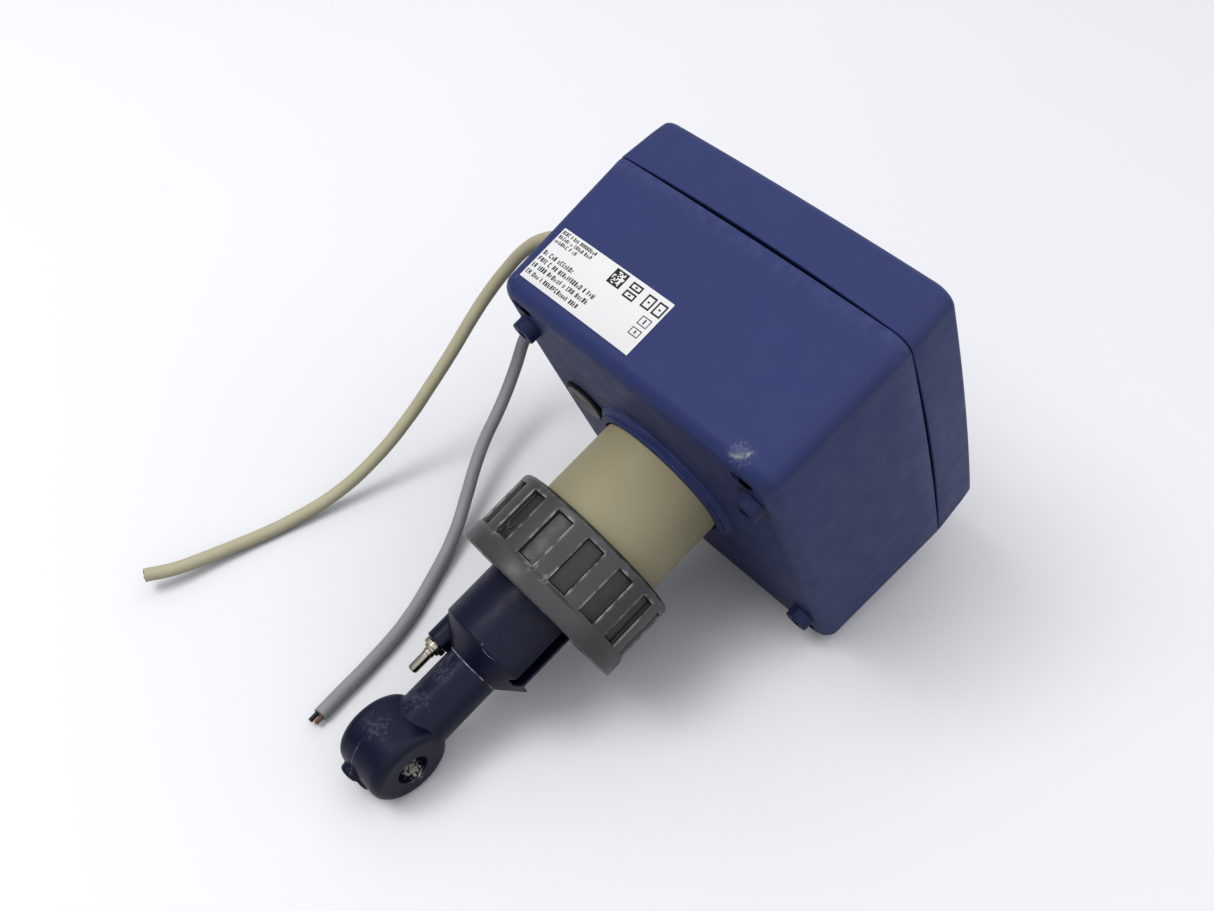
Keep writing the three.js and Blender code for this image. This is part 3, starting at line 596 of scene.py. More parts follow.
def raw_object(name, shape):
    """A Blender object from a shape, still in millimetres, with its faces turned outwards."""
    mesh = bpy.data.meshes.new(name)
    mesh.from_pydata(shape[0], [], shape[1])
    made = linked(name, mesh)
    if signed_volume(mesh) <= 0:
        mesh.flip_normals()
    mesh.update()
    return made


def signed_volume(mesh):
    """Six times the volume, positive where the faces look outwards: a solid's faces all have the same sense."""
    total = 0.0
    for polygon in mesh.polygons:
        corners = [mesh.vertices[index].co for index in polygon.vertices]
        for second, third in zip(corners[1:], corners[2:]):
            total += corners[0].dot(second.cross(third))
    return total


BEVEL_ANGLE = 32  # edges sharper than this get the bevel, in degrees


def build(name, shape, add=(), cut=(), bevel=0.0, voxel=0.0, relax=0, sharp=35):
    """Unites and cuts closed shapes, eases the edges, and puts the result where the device is."""
    made = raw_object(name, shape)
    helpers = []

    def modify(kind, **settings):
        put(made.modifiers.new(kind.lower(), kind), **settings)

    for operation, shapes in (("UNION", add), ("DIFFERENCE", cut)):
        for other in shapes:
            helpers.append(raw_object(f"{name}_tool", other))
            modify("BOOLEAN", operation=operation, solver="MANIFOLD", object=helpers[-1])
    if voxel:
        modify("REMESH", mode="VOXEL", voxel_size=voxel)
        modify("SMOOTH", factor=0.5, iterations=relax)
    if bevel:
        modify("BEVEL", width=bevel, segments=2, limit_method="ANGLE", angle_limit=math.radians(BEVEL_ANGLE),
               miter_outer="MITER_ARC")
    graph = bpy.context.evaluated_depsgraph_get()
    mesh = bpy.data.meshes.new_from_object(made.evaluated_get(graph))
    for helper in helpers:
        bpy.data.objects.remove(helper)
    made.modifiers.clear()
    made.data = mesh
    mesh.name = name
    mesh.transform(DEVICE)
    for polygon in mesh.polygons:
        polygon.use_smooth = True
    mesh.set_sharp_from_angle(angle=math.radians(sharp))
    return made


def shift(piece, y, z):
    """Moves a built piece across the device, in millimetres."""
    piece.data.transform(Matrix.Translation(world(0, y, z) - world(0, 0, 0)))


def finish_piece(piece, body, slot, material, *nodes):
    piece.data.materials.clear()
    piece.data.materials.append(material)
    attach(piece, body)
    if nodes:
        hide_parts(*nodes)


# ---- free cables

# The routes of the frame's cable solids, in metres: out of the gland, down, and away near the floor.
FLOOR_LINE = CABLE_DIAMETER / 2 + 0.0003
BEIGE_ROUTE = [
    (0.0527, 0.057, 0.1162), (0.0527, 0.07, 0.1162), (0.0527, 0.082, 0.1162), (0.0525, 0.092, 0.1148),
    (0.0511, 0.1025, 0.109), (0.0477, 0.1125, 0.0988), (0.0412, 0.1185, 0.0875), (0.0324, 0.1218, 0.0765),
    (0.0233, 0.1228, 0.0668), (0.0109, 0.1224, 0.055), (-0.0033, 0.1218, 0.043), (-0.0173, 0.1219, 0.031),
    (-0.0379, 0.1227, 0.017), (-0.0598, 0.1243, 0.0077), (-0.0842, 0.1274, 0.0036), (-0.0963, 0.1291, FLOOR_LINE),
    (-0.1098, 0.1311, 0.004), (-0.1238, 0.1329, 0.0054), (-0.1373, 0.1347, 0.0074), (-0.1493, 0.1382, 0.0098),
]
GREY_ROUTE = [
    (0.0691, 0.057, 0.0754), (0.0691, 0.07, 0.0754), (0.0691, 0.082, 0.0754), (0.0679, 0.092, 0.0742),
    (0.0643, 0.101, 0.071), (0.0593, 0.1086, 0.0648), (0.0535, 0.1136, 0.0558), (0.0469, 0.1153, 0.0455),
    (0.0387, 0.1126, 0.0352), (0.029, 0.1084, 0.0272), (0.0191, 0.1038, 0.022), (0.0077, 0.0983, 0.018),
    (-0.0046, 0.0903, 0.0148), (-0.0161, 0.0818, 0.0112), (-0.0331, 0.0697, 0.0064), (-0.055, 0.0576, FLOOR_LINE),
    (-0.0773, 0.0466, FLOOR_LINE), (-0.1003, 0.0395, FLOOR_LINE), (-0.1153, 0.036, FLOOR_LINE),
    (-0.1283, 0.0328, FLOOR_LINE),
]


def curve_piece(name, route, diameter):
    data = put(bpy.data.curves.new(name, "CURVE"), dimensions="3D", resolution_u=10, bevel_depth=diameter / 2,
               bevel_resolution=8, use_fill_caps=True)
    spline = data.splines.new("BEZIER")
    spline.bezier_points.add(len(route) - 1)
    for point, place in zip(spline.bezier_points, route):
        put(point, co=place, handle_left_type="AUTO", handle_right_type="AUTO")
    return linked(name, data)


def jacket_look(name, color, dirt):
    look = Look(name, 0.5, specular=0.35)
    look.base(color, mottle=0.04, size=0.015)
    look.specks(0.0011, 0.25, dirt)
    look.uneven_gloss(0.5, 0.06, size=0.006)
    look.grain(0.0007, 0.000012)
    return look.done()


CORE_ROOT = 0.002  # a core starts this far inside its jacket


def add_cable_end(name, route, cores):
    """Conductors in a cable's cut face: each is (sideways, up, radius, stick-out, material, slot), in metres."""
    end = Vector(route[-1])
    along = (end - Vector(route[-2])).normalized()
    across = Vector((-along.y, along.x, 0)).normalized()
    up = along.cross(across)
    pieces = []
    for index, (sideways, rise, radius, length, material, slot) in enumerate(cores):
        start = end - along * CORE_ROOT + across * sideways + up * rise
        stop = end + along * length + across * sideways + up * rise
        made = curve_piece(f"{name}_core_{index + 1}", [start, start.lerp(stop, 0.5), stop], 2 * radius)
        made.data.bevel_resolution = 4
        finish_piece(made, "housing", slot, material)
        pieces.append(made)
    return pieces


def add_cables():
    black = plain_look("core_black", srgb(22, 23, 26), 0.45)
    brown = plain_look("core_brown", srgb(104, 72, 54), 0.5)
    white = plain_look("core_pale", srgb(196, 190, 176), 0.5)
    copper = metal_look("core_copper", srgb(196, 140, 100), 0.3)
    beige = curve_piece("beige_cable_jacket", BEIGE_ROUTE, CABLE_DIAMETER)
    beige_look = jacket_look("beige_jacket", srgb(176, 171, 145), srgb(150, 146, 120))
    grey = curve_piece("grey_cable_jacket", GREY_ROUTE, CABLE_DIAMETER)
    grey_look = jacket_look("grey_jacket", srgb(144, 144, 150), srgb(120, 120, 128))
    beige_cores = add_cable_end("beige_cable", BEIGE_ROUTE, [
        (-0.0011, 0.0006, 0.0009, 0.0002, brown, "core_brown"),
        (0.0011, 0.0006, 0.0009, 0.0002, white, "beige_jacket"),
        (0.0, -0.0012, 0.0009, 0.0002, black, "core_black"),
        (0.0, -0.0012, 0.00035, 0.0004, copper, "copper"),
    ])
    grey_cores = add_cable_end("grey_cable", GREY_ROUTE, [
        (-0.0013, 0.0, 0.001, 0.0042, black, "core_black"),
        (-0.0013, 0.0, 0.0004, 0.0044, copper, "copper"),
        (0.0013, 0.0, 0.001, 0.0036, brown, "core_brown"),
        (0.0013, 0.0, 0.0004, 0.0038, copper, "copper"),
    ])
    finish_piece(beige, "housing", "beige_jacket", beige_look, "beige_cable")
    finish_piece(grey, "housing", "grey_jacket", grey_look, "grey_cable")
    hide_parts("grey_core_black")
    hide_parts("grey_core_brown")


add_camera()
add_cables()


# ---- housing

def base_half(x):
    """Half the base's width and half its height at that depth, where its sides don't bow."""
    draft = BASE_DRAFT * (1 - x / BASE_DEPTH)
    return HALF_WIDTH - draft, HALF_HEIGHT - draft


def base_outline(x, inset, radius=CORNER_RADIUS):
    half_y, half_z = base_half(x)
    return outline(half_y - inset, half_z - inset, radius)


def cover_outline(x, inset, radius=CORNER_RADIUS):
    draft = COVER_DRAFT * (x - BASE_DEPTH) / (COVER_FRONT - BASE_DEPTH)
    return outline(HALF_WIDTH - draft - inset, HALF_HEIGHT - draft - inset, radius)


def fillet(angle, radius):
    """How far along and how far in a quarter round of the housing's edge has come at that angle, in degrees."""
    turn = math.radians(angle)
    return radius * (1 - math.cos(turn)), radius * (1 - math.sin(turn))


def base_shell():
    sections = []
    for angle in range(0, 91, 10):
        x, inset = fillet(angle, EDGE_RADIUS)
        sections.append((x, base_outline(x, inset, CORNER_RADIUS - 0.5 * inset)))
    for x, inset in ((22, 0), (40, 0), (58, 0), (67.4, 0), (67.85, 0.12), (BASE_RIM, 0.45)):
        sections.append((x, base_outline(x, inset)))
    for x, inset, radius in ((BASE_RIM, 0.9, 7.1), (66.1, 0.9, 7.1), (66.1, 2.7, 5.3), (BASE_RIM, 2.7, 5.3),
                             (BASE_RIM, 3.1, 5.1), (67.6, WALL, 5), (40, WALL, 5), (6, WALL, 5), (WALL, 6, 5)):
        sections.append((x, base_outline(x, inset, radius)))
    return loft(sections)


COLLAR_RADIUS = 36.2
LUG_FOOT_RADIUS = 6.1
FLARE = 0.9  # round where a collar or a lug leaves the back face


def flare_points(radius, angles):
    """Profile points of the flare at a foot of that radius."""
    turns = [math.radians(angle) for angle in angles]
    return [(-FLARE + FLARE * math.cos(turn), radius - FLARE * math.sin(turn)) for turn in turns]


def collar_shape():
    """Raised ring round the stem, flaring softly into the back face."""
    foot = flare_points(COLLAR_RADIUS, (10, 50, 90))
    lip = arc_points(-3.1, 32.2, 0.7, 90, 180)
    return turned([(1.5, COLLAR_RADIUS), *foot, (-1.5, 34.4), (-2.4, 32.9), *lip, (-3.8, 26)], 120)


def lug_shape():
    """Boss for a mounting screw, with a small flare at its foot."""
    foot = flare_points(LUG_FOOT_RADIUS, (15, 45, 90))
    rim = arc_points(-LUG_HEIGHT + 0.5, 4.7, 0.5, 90, 180)
    return turned([(1.2, LUG_FOOT_RADIUS), *foot, *rim], 40)


def add_base(material):
    extra = [on_stem(collar_shape())]
    cuts = [
        on_stem(rod(-12, 12, 20.3, 96)),
        on_stem(rod(-12, -0.6, TUBE_RADIUS + 0.95, 120)),
        moved(rod(-12, 12, 6.8, 40), y=PLUG_Y, z=PLUG_Z),
    ]
    for x, z in GLANDS.values():
        cuts.append(moved(along_y(rod(HALF_WIDTH - 12, HALF_WIDTH + 12, 8.2, 40)), x=x, z=z))
    for corner in CORNERS:
        extra.append(at_corner(lug_shape(), LUG_AT, corner))
        extra.append(at_corner(rod(2, BASE_RIM - 2.7, 5, 28), COVER_SCREW_AT, corner))
        extra.append(at_corner(rod(2, 23.7, 4, 24), BOARD_POST_AT, corner))
        cuts.append(at_corner(rod(-LUG_HEIGHT - 2, 2.6, 2.2, 24), LUG_AT, corner))
        cuts.append(at_corner(block(-2, 3.2, -5.0, 5.0, -2.9, 2.9, 1.5), SLOT_AT, corner))
        cuts.append(at_corner(rod(48, BASE_RIM, 1.9, 16), COVER_SCREW_AT, corner))
    piece = build("base_shell", base_shell(), extra, cuts, bevel=0.3)
    finish_piece(piece, "housing", "housing", material, "base_housing")


def cover_shell():
    def parting(y, z):
        """The cover's lower edge, which bows away from the base along each side."""
        bow_y = max(0.0, 1 - (y / (HALF_WIDTH - CORNER_RADIUS)) ** 2)
        bow_z = max(0.0, 1 - (z / (HALF_HEIGHT - CORNER_RADIUS)) ** 2)
        side = bow_y if abs(z) > HALF_HEIGHT - CORNER_RADIUS else 0.0
        return BASE_DEPTH + GAP_BOW * max(side, bow_z if abs(y) > HALF_WIDTH - CORNER_RADIUS else 0.0)

    def lifted(amount):
        return lambda y, z: parting(y, z) + amount

    sections = [(lifted(0.0), cover_outline(BASE_DEPTH, 0.45)), (lifted(0.25), cover_outline(BASE_DEPTH, 0.12)),
                (lifted(0.7), cover_outline(69, 0)), (76, cover_outline(76, 0)), (85, cover_outline(85, 0))]
    for angle in range(90, -1, -10):
        along, inset = fillet(angle, COVER_EDGE_RADIUS)
        sections.append((COVER_FRONT - along, cover_outline(COVER_FRONT, inset, CORNER_RADIUS - 0.5 * inset)))
    for inset in (5, 9, 14, 20, 28, 36, 44, 52, 60):
        rise = COVER_DOME * (1 - ((60 - inset) / 57) ** 2)
        sections.append((COVER_FRONT + rise, cover_outline(COVER_FRONT, inset, 5)))
    inner = [(lifted(0.0), cover_outline(BASE_DEPTH, 3.1, 5.2)), (lifted(0.5), cover_outline(BASE_DEPTH, WALL, 5)),
             (85, cover_outline(85, WALL, 5)), (88, cover_outline(88, 4.6, 5)),
             (COVER_FRONT - WALL, cover_outline(88, 7, 5))]
    return loft(list(reversed(sections)) + inner)


def add_cover(material):
    cuts = [block(80, 100, -38.7, 38.7, 22.3, 55.7, 2.0), block(90.5, 100, -42, 42, 19, 59, 2.4)]
    posts = []
    for corner in CORNERS:
        posts.append(at_corner(rod(69.6, 90, 5.5, 32), COVER_SCREW_AT, corner))
        cuts.append(at_corner(rod(66, 100, 2.1, 20), COVER_SCREW_AT, corner))
        cuts.append(at_corner(rod(84, 100, 4.6, 40), COVER_SCREW_AT, corner))
    piece = build("cover_shell", cover_shell(), posts, cuts, bevel=0.3)
    finish_piece(piece, "cover", "housing", material, "front_cover")


housing_material = housing_look()
add_base(housing_material)
add_cover(housing_material)


# ---- stem, nut and sensor

def add_tube(material):
    profile = [(16, 16.3), (16, 19.6), (15.5, 20), (-2.6, 20), (-2.6, 28.6), (-3.0, TUBE_RADIUS)]
    profile += [(x, TUBE_RADIUS) for x in (-10, -20, -30, -40)]
    profile += [(TUBE_END, TUBE_RADIUS), (TUBE_END, 33), (TUBE_END - 0.4, 33.4), (FLANGE_END + 0.5, 33.4)]
    profile += [(FLANGE_END, 32.9), (FLANGE_END, 30.2), (FLANGE_END + 2.3, 30.2), (FLANGE_END + 2.3, 26.4)]
    profile += [(FLANGE_END, 26.4), (FLANGE_END, 16.3)]
    shape = on_stem(turned(profile, 144, closed=True))
    finish_piece(build("stem_sleeve", shape), "housing", "tube", material, "stem_tube")


POCKET_PERIOD = 360 / NUT_POCKETS  # in degrees, like the half angle
POCKET_HALF_ANGLE = 6.0
POCKET_DEPTH = 1.8
POCKET_LOW = -65.4
POCKET_HIGH = -44.4
POCKET_EASE = 0.35  # half the width of the step at a pocket's sides and ends
MARK_TURN = 70.5  # the pocket with the ring mark, in degrees from +y towards +z
THREAD_PITCH = 3.0
THREAD_DEPTH = 1.1


def step_up(value, middle):
    """From 0 to 1, smoothly, as the value passes the middle."""
    low, high = middle - POCKET_EASE, middle + POCKET_EASE
    share = min(1.0, max(0.0, (value - low) / (high - low)))
    return share * share * (3 - 2 * share)


def nut_angles():
    """Angles round the nut, in radians, closer together at the sides of each pocket."""
    offsets = (0, 2.5, 4.6, 5.5, 5.75, 5.9, 6.05, 6.2, 6.45, 7.4, 9)
    period = sorted({-offset for offset in offsets} | {*offsets, POCKET_PERIOD / 2})
    return [math.radians(POCKET_PERIOD * pocket + offset) for pocket in range(NUT_POCKETS) for offset in period]


def nut_shape():
    outer = [(NUT_OPEN_END, 35.6), (NUT_OPEN_END, 38.6)]
    outer += arc_points(NUT_OPEN_END + 0.8, NUT_RIM_RADIUS - 0.8, 0.8, 180, 90)
    outer += [(-68.0, NUT_RIM_RADIUS), (-67.4, 39.25), (-66.8, 38.9), (-66.2, 38.55), (-65.8, NUT_RADIUS)]
    ramp = (-POCKET_EASE, -0.2, 0, 0.2, POCKET_EASE)
    outer += [(POCKET_LOW + step, NUT_RADIUS) for step in ramp]
    outer += [(x, NUT_RADIUS) for x in (-62, -58, -54, -50, -46.6)]
    outer += [(POCKET_HIGH + step, NUT_RADIUS) for step in ramp]
    outer += [(-43.4, NUT_RADIUS)] + arc_points(-42.1, NUT_RADIUS - 2.1, 2.1, 90, 10, 8)
    outer += [(NUT_TOP, NUT_RADIUS - 5.6), (NUT_TOP, 30.2), (NUT_TOP - 0.5, 29.6), (-47.3, 29.6), (-47.3, 34.4)]
    thread = [(-48 - 0.5 * step, 34.4) for step in range(53)]
    profile = outer + thread
    outside = len(outer) - 5

    def shaped(index, x, radius, angle):
        """Sinks the pockets into the outside and cuts the thread into the inside."""
        degrees = math.degrees(angle)
        if index < outside:
            aside = abs((degrees + POCKET_PERIOD / 2) % POCKET_PERIOD - POCKET_PERIOD / 2)
            across = 1 - step_up(aside, POCKET_HALF_ANGLE)
            along = step_up(x, POCKET_LOW) * (1 - step_up(x, POCKET_HIGH))
            return radius - POCKET_DEPTH * across * along
        if index >= len(outer) and -73.5 < x < -49.5:
            phase = (x / THREAD_PITCH + degrees / 360) % 1
            return radius + THREAD_DEPTH * (1 - abs(2 * phase - 1))
        return radius

    return on_stem(turned(profile, radius_at=shaped, closed=True, angles=nut_angles()))


def add_nut(material):
    finish_piece(build("nut_body", nut_shape(), sharp=50), "union_nut", "nut", material, "union_nut")
    vertices, faces = ring_solid(-0.35, 0.3, 1.1, 1.7, 32, ease=0.12)
    standing = [(y + NUT_PIVOT_X, x + NUT_RADIUS - POCKET_DEPTH, z) for x, y, z in vertices]
    mark = on_stem(rolled((standing, faces), MARK_TURN))
    finish_piece(build("nut_cavity_mark", mark), "union_nut", "nut", material)


FLAT_TURN = math.radians(211)  # direction of the barrel's flat, from +y towards +z
FLAT_DISTANCE = 18.1


def barrel_shape():
    def shaped(index, x, radius, angle):
        if -100.5 < x < -61:
            facing = math.cos(angle - FLAT_TURN)
            if facing > 0.5:
                return min(radius, FLAT_DISTANCE / facing)
        return radius

    profile = [(-20, 15.5), (-20.5, 16), (-57.3, 16), (-57.3, 22.6), (-57.7, BODY_RADIUS)]
    profile += [(x, BODY_RADIUS) for x in (-60.9, -61.1, -66, -74, -82, -90, -96, BODY_END)]
    profile += [(-100.4, 21.9), (-100.6, 21.65), (NECK_START, NECK_RADIUS)]
    profile += [(x, NECK_RADIUS) for x in (-116, -122, -128, -134, -140, -146)]
    return turned(profile, 128, shaped)


def sensor_parts():
    """The ring head, the probe's boss and the two moulding gates, to unite with the barrel."""
    head = turned(eased_ends(-HEAD_THICKNESS / 2, HEAD_THICKNESS / 2, HEAD_RADIUS, HEAD_ROUND, 8), 120)
    boss = moved(rod(PROBE_BOSS_END, BODY_END + 8, 5.6, 40), y=PROBE_Y, z=PROBE_Z)
    gate = moved(rod(HEAD_X - HEAD_RADIUS - 2.4, HEAD_X - 10, 4.4, 32, ease=1.6), y=5.4, z=2.4)
    second_gate = moved(rod(HEAD_X - HEAD_RADIUS - 1.6, HEAD_X - 10, 3.6, 32, ease=1.4), y=0.4, z=-1.2)
    return [moved(along_y(head), x=HEAD_X, y=HEAD_Y), boss, gate, second_gate]


def add_sensor(material):
    cuts = [
        rolled(block(-102, -74, -30, -16, -2.4, 2.4, 0.4), -15.8),
        moved(along_y(rod(-30, 30, 6.5, 56)), x=HEAD_X),
        moved(rod(PROBE_BOSS_END - 1, PROBE_BOSS_END + 7, 2.9, 24), y=PROBE_Y, z=PROBE_Z),
    ]
    casting = build("sensor_casting", barrel_shape(), sensor_parts(), cuts, voxel=0.4, relax=3, sharp=180)
    shift(casting, STEM_Y, STEM_Z)
    finish_piece(casting, "housing", "sensor", material, "sensor_body")


def add_probe(material):
    face = PROBE_BOSS_END - 0.3

    def collar(index, x, radius, angle):
        if radius > 4.4:
            return radius * (1 - 0.055 * (1 - math.cos(6 * angle)) / 2)
        return radius

    profile = [(face + 6, 2.5), (face, 2.5), (face, 4.7), (face - 0.3, 4.95), (face - 2.0, 4.95), (face - 2.4, 4.6),
               (face - 2.4, 3.5), (face - 3.4, 3.4), (face - 3.8, 2.4), (face - 5.2, 2.4), (face - 5.5, 2.1),
               (face - 13.3, 2.1), (face - 14.0, 1.7), (face - 14.2, 1.2)]
    shape = moved(turned(profile, 48, collar), y=STEM_Y + PROBE_Y, z=STEM_Z + PROBE_Z)
    finish_piece(build("probe_pin", shape), "housing", "steel", material, "temperature_probe")


add_tube(tube_look())
add_nut(nut_look())
add_sensor(sensor_look())
steel = metal_look("steel", srgb(196, 190, 176), 0.22)
add_probe(steel)


# ---- label

LABEL_X = (7.6, 32.3)
LABEL_Y = (2.8, 62.7)
INK_LIFT = 0.29  # the ink's face above the housing; the film's is a little lower
LABEL_MARGIN = 0.9
CODE_CELLS = 11
CODE_CELL = 0.6


def top_of_base(x, y):
    half_y, half_z = base_half(x)
    along = y / (half_y - CORNER_RADIUS)
    return half_z + SIDE_BOW * (1 - min(1.0, along * along))


def patch(x0, x1, y0, y1, lift, depth, steps=1):
    """A thin plate on the housing's top side, following its bow along y."""
    rings = []
    for step in range(steps + 1):
        y = y0 + (y1 - y0) * step / steps
        near, far = top_of_base(x0, y) + lift, top_of_base(x1, y) + lift
        rings.append([(x0, y, near), (x1, y, far), (x1, y, far - depth), (x0, y, near - depth)])
    return skin(rings)


def add_label(material, ink):
    sheet = build("label_sheet", patch(*LABEL_X, *LABEL_Y, lift=0.26, depth=0.16, steps=40), bevel=0.05)
    finish_piece(sheet, "housing", "label", material, "rating_label")
    dice = random.Random(7)
    marks = []

    def bar(start, row, length, height):
        """A printed bar: start is measured along the label from its gland end, row down from its upper edge."""
        y = LABEL_Y[1] - start
        x = LABEL_X[1] - row
        steps = max(1, round(length / 3))
        marks.append(patch(x - height, x, y - length, y, INK_LIFT, 0.05, steps))

    def box(start, row, width, height, lower, line):
        """A printed outline: sides of that height, and a lower bar at row + lower."""
        bar(start, row, width, line)
        bar(start, row + lower, width, line)
        bar(start, row, line, height)
        bar(start + width - line, row, line, height)

    def glyph(start, row, length, height):
        """An invented letter: one or two upright strokes and one or two cross strokes."""
        stroke = 0.21 * height
        bar(start, row, stroke, height)
        if dice.random() < 0.6:
            bar(start + length - stroke, row, stroke, height)
        for level in dice.sample((0.0, 0.42, 0.83), 2):
            bar(start, row + level * height, length, stroke)

    for row, width, height in ((0.9, 19.5, 1.5), (3.1, 18.5, 1.5), (5.3, 13, 1.5), (11.0, 17, 1.9),
                               (14.1, 31.5, 1.9), (17.2, 32, 1.9), (20.6, 30, 1.8)):
        start = LABEL_MARGIN
        while start < width:
            length = dice.uniform(0.3, 0.6) * height
            rise = dice.choice((0, 0, 0.3)) * height
            glyph(start, row + rise, length, height - rise)
            start += length + dice.choice((0.22, 0.22, 0.22, 0.7)) * height
    edge = (0, CODE_CELLS - 1)
    for row in range(CODE_CELLS):
        for column in range(CODE_CELLS):
            if row in edge or column in edge or dice.random() < 0.5:
                bar(31.0 + column * CODE_CELL, LABEL_MARGIN + row * CODE_CELL, CODE_CELL, CODE_CELL)
    bold, thin = 0.7, 0.35
    for start, row, width, height in ((40.4, 1.6, 5.4, 3.0), (40.4, 5.4, 5.4, 3.0),
                                      (49.0, 2.0, 4.4, 5.6), (54.6, 2.0, 4.4, 5.6)):
        box(start, row, width, height, height - bold, bold)
        bar(start + width / 2 - 0.5, row + height / 2 - bold / 2, 1.0, bold)
    for row, height in ((9.6, 3.4), (14.8, 2.8)):
        box(53.4, row, 4.6, height, height, thin)
        bar(55.4, row + 0.8, 0.6, height - 1.4)
    finish_piece(build("label_print", joined(*marks)), "housing", "label", ink)


add_label(plain_look("label_film", srgb(218, 218, 218), 0.5, mottle=0.015, size=0.02),
          plain_look("label_ink", srgb(24, 22, 28), 0.6, mottle=0.2, size=0.002))


# ---- plug, glands and screws

def add_plug(grey, rubber):
    rim = arc_points(-1.7, 9.0, 0.3, 60, 180)
    profile = [(8, 6.2), (7.6, 6.5), (-1.4, 6.5), (-1.4, 9.2), *rim, (-2.0, 6.6), (-1.7, 6.3), (-1.7, 0.4)]
    slot = block(-4, -1.1, -5.2, 5.2, -0.8, 0.8, 0.3)
    plug = build("plug_disc", turned(profile, 64), cut=[slot])
    shift(plug, PLUG_Y, PLUG_Z)
    finish_piece(plug, "housing", "grey_plastic", grey, "blanking_plug")
    gasket = build("plug_ring", moved(ring_solid(-1.35, -0.1, 6.8, 10.7, 64, ease=0.4), y=PLUG_Y, z=PLUG_Z))
    finish_piece(gasket, "housing", "rubber", rubber, "plug_gasket")


GLAND_STANDOFF = 0.8  # the gland's flange above the housing's side
GRIP_RIBS = 18


def side_of_base(x, z):
    half_y, half_z = base_half(x)
    along = z / (half_z - CORNER_RADIUS)
    return half_y + SIDE_BOW * (1 - along * along)


def hexagonal(index, along, radius, angle):
    """Makes the wide part of a gland body a hexagon with softened corners."""
    if radius <= 9:
        return radius
    aside = (angle + math.pi / 6) % (math.pi / 3) - math.pi / 6
    return radius * min(1.0 / math.cos(aside) * math.cos(math.pi / 6), 0.965)


def grip(index, along, radius, angle):
    """Cuts grooves into the cylindrical part of a gland nut."""
    if along < 13.2 and radius > 9.5:
        return radius - 0.45 * (0.5 - 0.5 * math.cos(GRIP_RIBS * angle)) ** 3
    return radius


def add_glands(grey, rubber):
    for name, (x, z) in GLANDS.items():
        place = (x, side_of_base(x, z) + GLAND_STANDOFF, z)
        profile = [(-14, 7.6), (-13.6, 7.9), (0, 7.9), (0, 11), (0.4, 11.5), (4.6, 11.5), (5, 11), (5, 7.4),
                   (11, 7.2), (11, 5.6), (7, 5.6), (7, 3.7), (-14, 3.7)]
        body = along_y(turned(profile, 96, hexagonal, closed=True))
        piece = build(f"{name}_gland_base", moved(body, *place))
        finish_piece(piece, "housing", "grey_plastic", grey, f"{name}_gland_body")
        dome = [(5.6, 9.9), (6.0, 10.5), (9, 10.5), (12.6, 10.5), (13.2, 9.9), (14, 9.8), (15.6, 9.4), (17, 8.6),
                (18.4, 7.4), (19.5, 6.0), (20, 4.8), (20, 3.8), (16, 3.7), (16, 5.2), (13, 7.8), (5.6, 7.8)]
        cap = along_y(turned(dome, 180, grip, closed=True))
        piece = build(f"{name}_gland_cap", moved(cap, *place), sharp=50)
        finish_piece(piece, f"{name}_gland_nut", "grey_plastic", grey, f"{name}_gland_nut")
        seal = build(f"{name}_gland_grommet", moved(along_y(ring_solid(7.3, 12.4, 3.3, 5.2, 40)), *place))
        finish_piece(seal, "housing", "rubber", rubber, f"{name}_gland_seal")


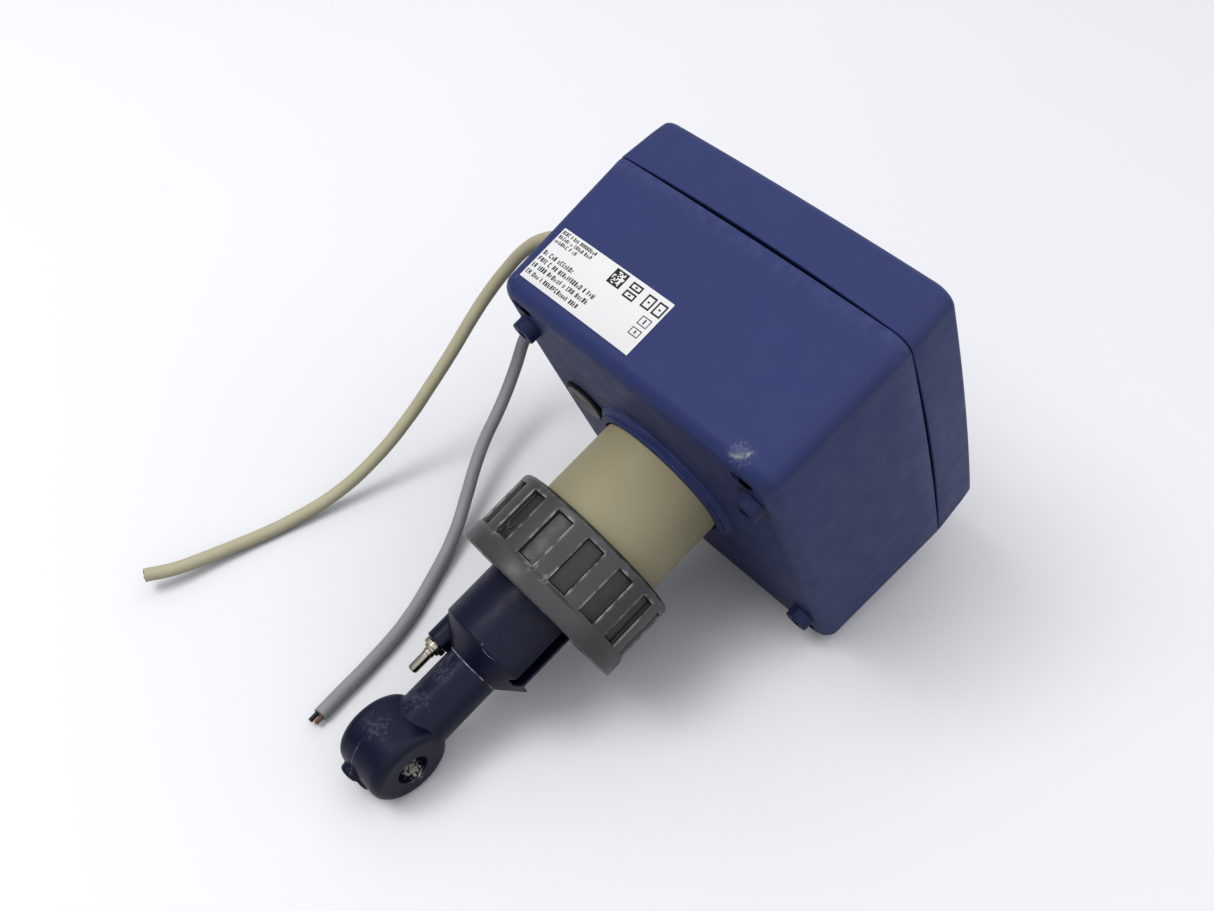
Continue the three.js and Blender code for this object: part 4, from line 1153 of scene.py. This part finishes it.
def add_cover_screws(material):
    seat = 84.3
    crown = arc_points(seat + 2.2, 2.4, 1.8, 90, 20)
    profile = [(52, 0.4), (53.6, 1.6), (seat, 1.6), (seat, 4.2), (seat + 2.2, 4.2), *crown, (seat + 4, 0.5)]
    cross = [block(seat + 1.8, seat + 6, -2.3, 2.3, -0.5, 0.5, 0.2),
             block(seat + 1.8, seat + 6, -0.5, 0.5, -2.3, 2.3, 0.2)]
    for index, corner in enumerate(CORNERS, 1):
        screw = build(f"cover_fastener_{index}", turned(profile, 48), cut=cross)
        shift(screw, *mirrored(COVER_SCREW_AT, corner))
        finish_piece(screw, f"cover_screw_{index}", "screw", material, f"cover_screw_{index}")


grey_plastic = plain_look("grey_plastic", srgb(112, 113, 108), 0.5)
rubber = plain_look("rubber", srgb(24, 24, 27), 0.7, specular=0.25)
add_plug(grey_plastic, rubber)
add_glands(grey_plastic, rubber)
add_cover_screws(metal_look("screw_steel", srgb(170, 170, 172), 0.3))


# ---- carried-over frame nodes

def dress(prefixes, material):
    """Gives the shown CAD nodes whose names start that way a finished material."""
    for name, node in frame["nodes"].items():
        if name.startswith(prefixes):
            for slot in node.material_slots:
                slot.material = material


for prefixes, material in (
    (("main_board", "display_board"), board_look()),
    ("terminal_block", plain_look("terminal", srgb(58, 120, 74), 0.45)),
    ("relay", plain_look("relay_can", srgb(42, 60, 104), 0.3)),
    ("power_converter", plain_look("potting", srgb(30, 30, 32), 0.5)),
    ("board_screw", steel),
    ("display_spacer", metal_look("brass", srgb(190, 152, 88), 0.28)),
    ("lcd_panel", lcd_look()),
    ("key_", plain_look("key_cap", srgb(206, 206, 202), 0.5)),
    (("stem_seal", "cover_gasket", "process_o_ring"), rubber),
    (("stem_locknut", "beige_gland_locknut", "grey_gland_locknut"), grey_plastic),
    ("slip_ring", plain_look("slip", srgb(176, 170, 144), 0.4)),
    ("transmit_coil", metal_look("winding", srgb(178, 108, 66), 0.35)),
    ("receive_coil", metal_look("winding_2", srgb(170, 104, 66), 0.35)),
    ("sensor_lead", plain_look("lead_sleeve", srgb(36, 36, 38), 0.55)),
    ("display_window", window_look()),
):
    dress(prefixes, material)


# ---- floor and light

FLOOR_HALF = 3  # half the floor's side, in metres


def add_floor(material):
    mesh = bpy.data.meshes.new("floor")
    mesh.from_pydata([(x * FLOOR_HALF, y * FLOOR_HALF, 0) for x, y in CORNERS], [], [(0, 1, 2, 3)])
    mesh.materials.append(material)
    linked("floor", mesh)


add_floor(floor_look())
add_light()
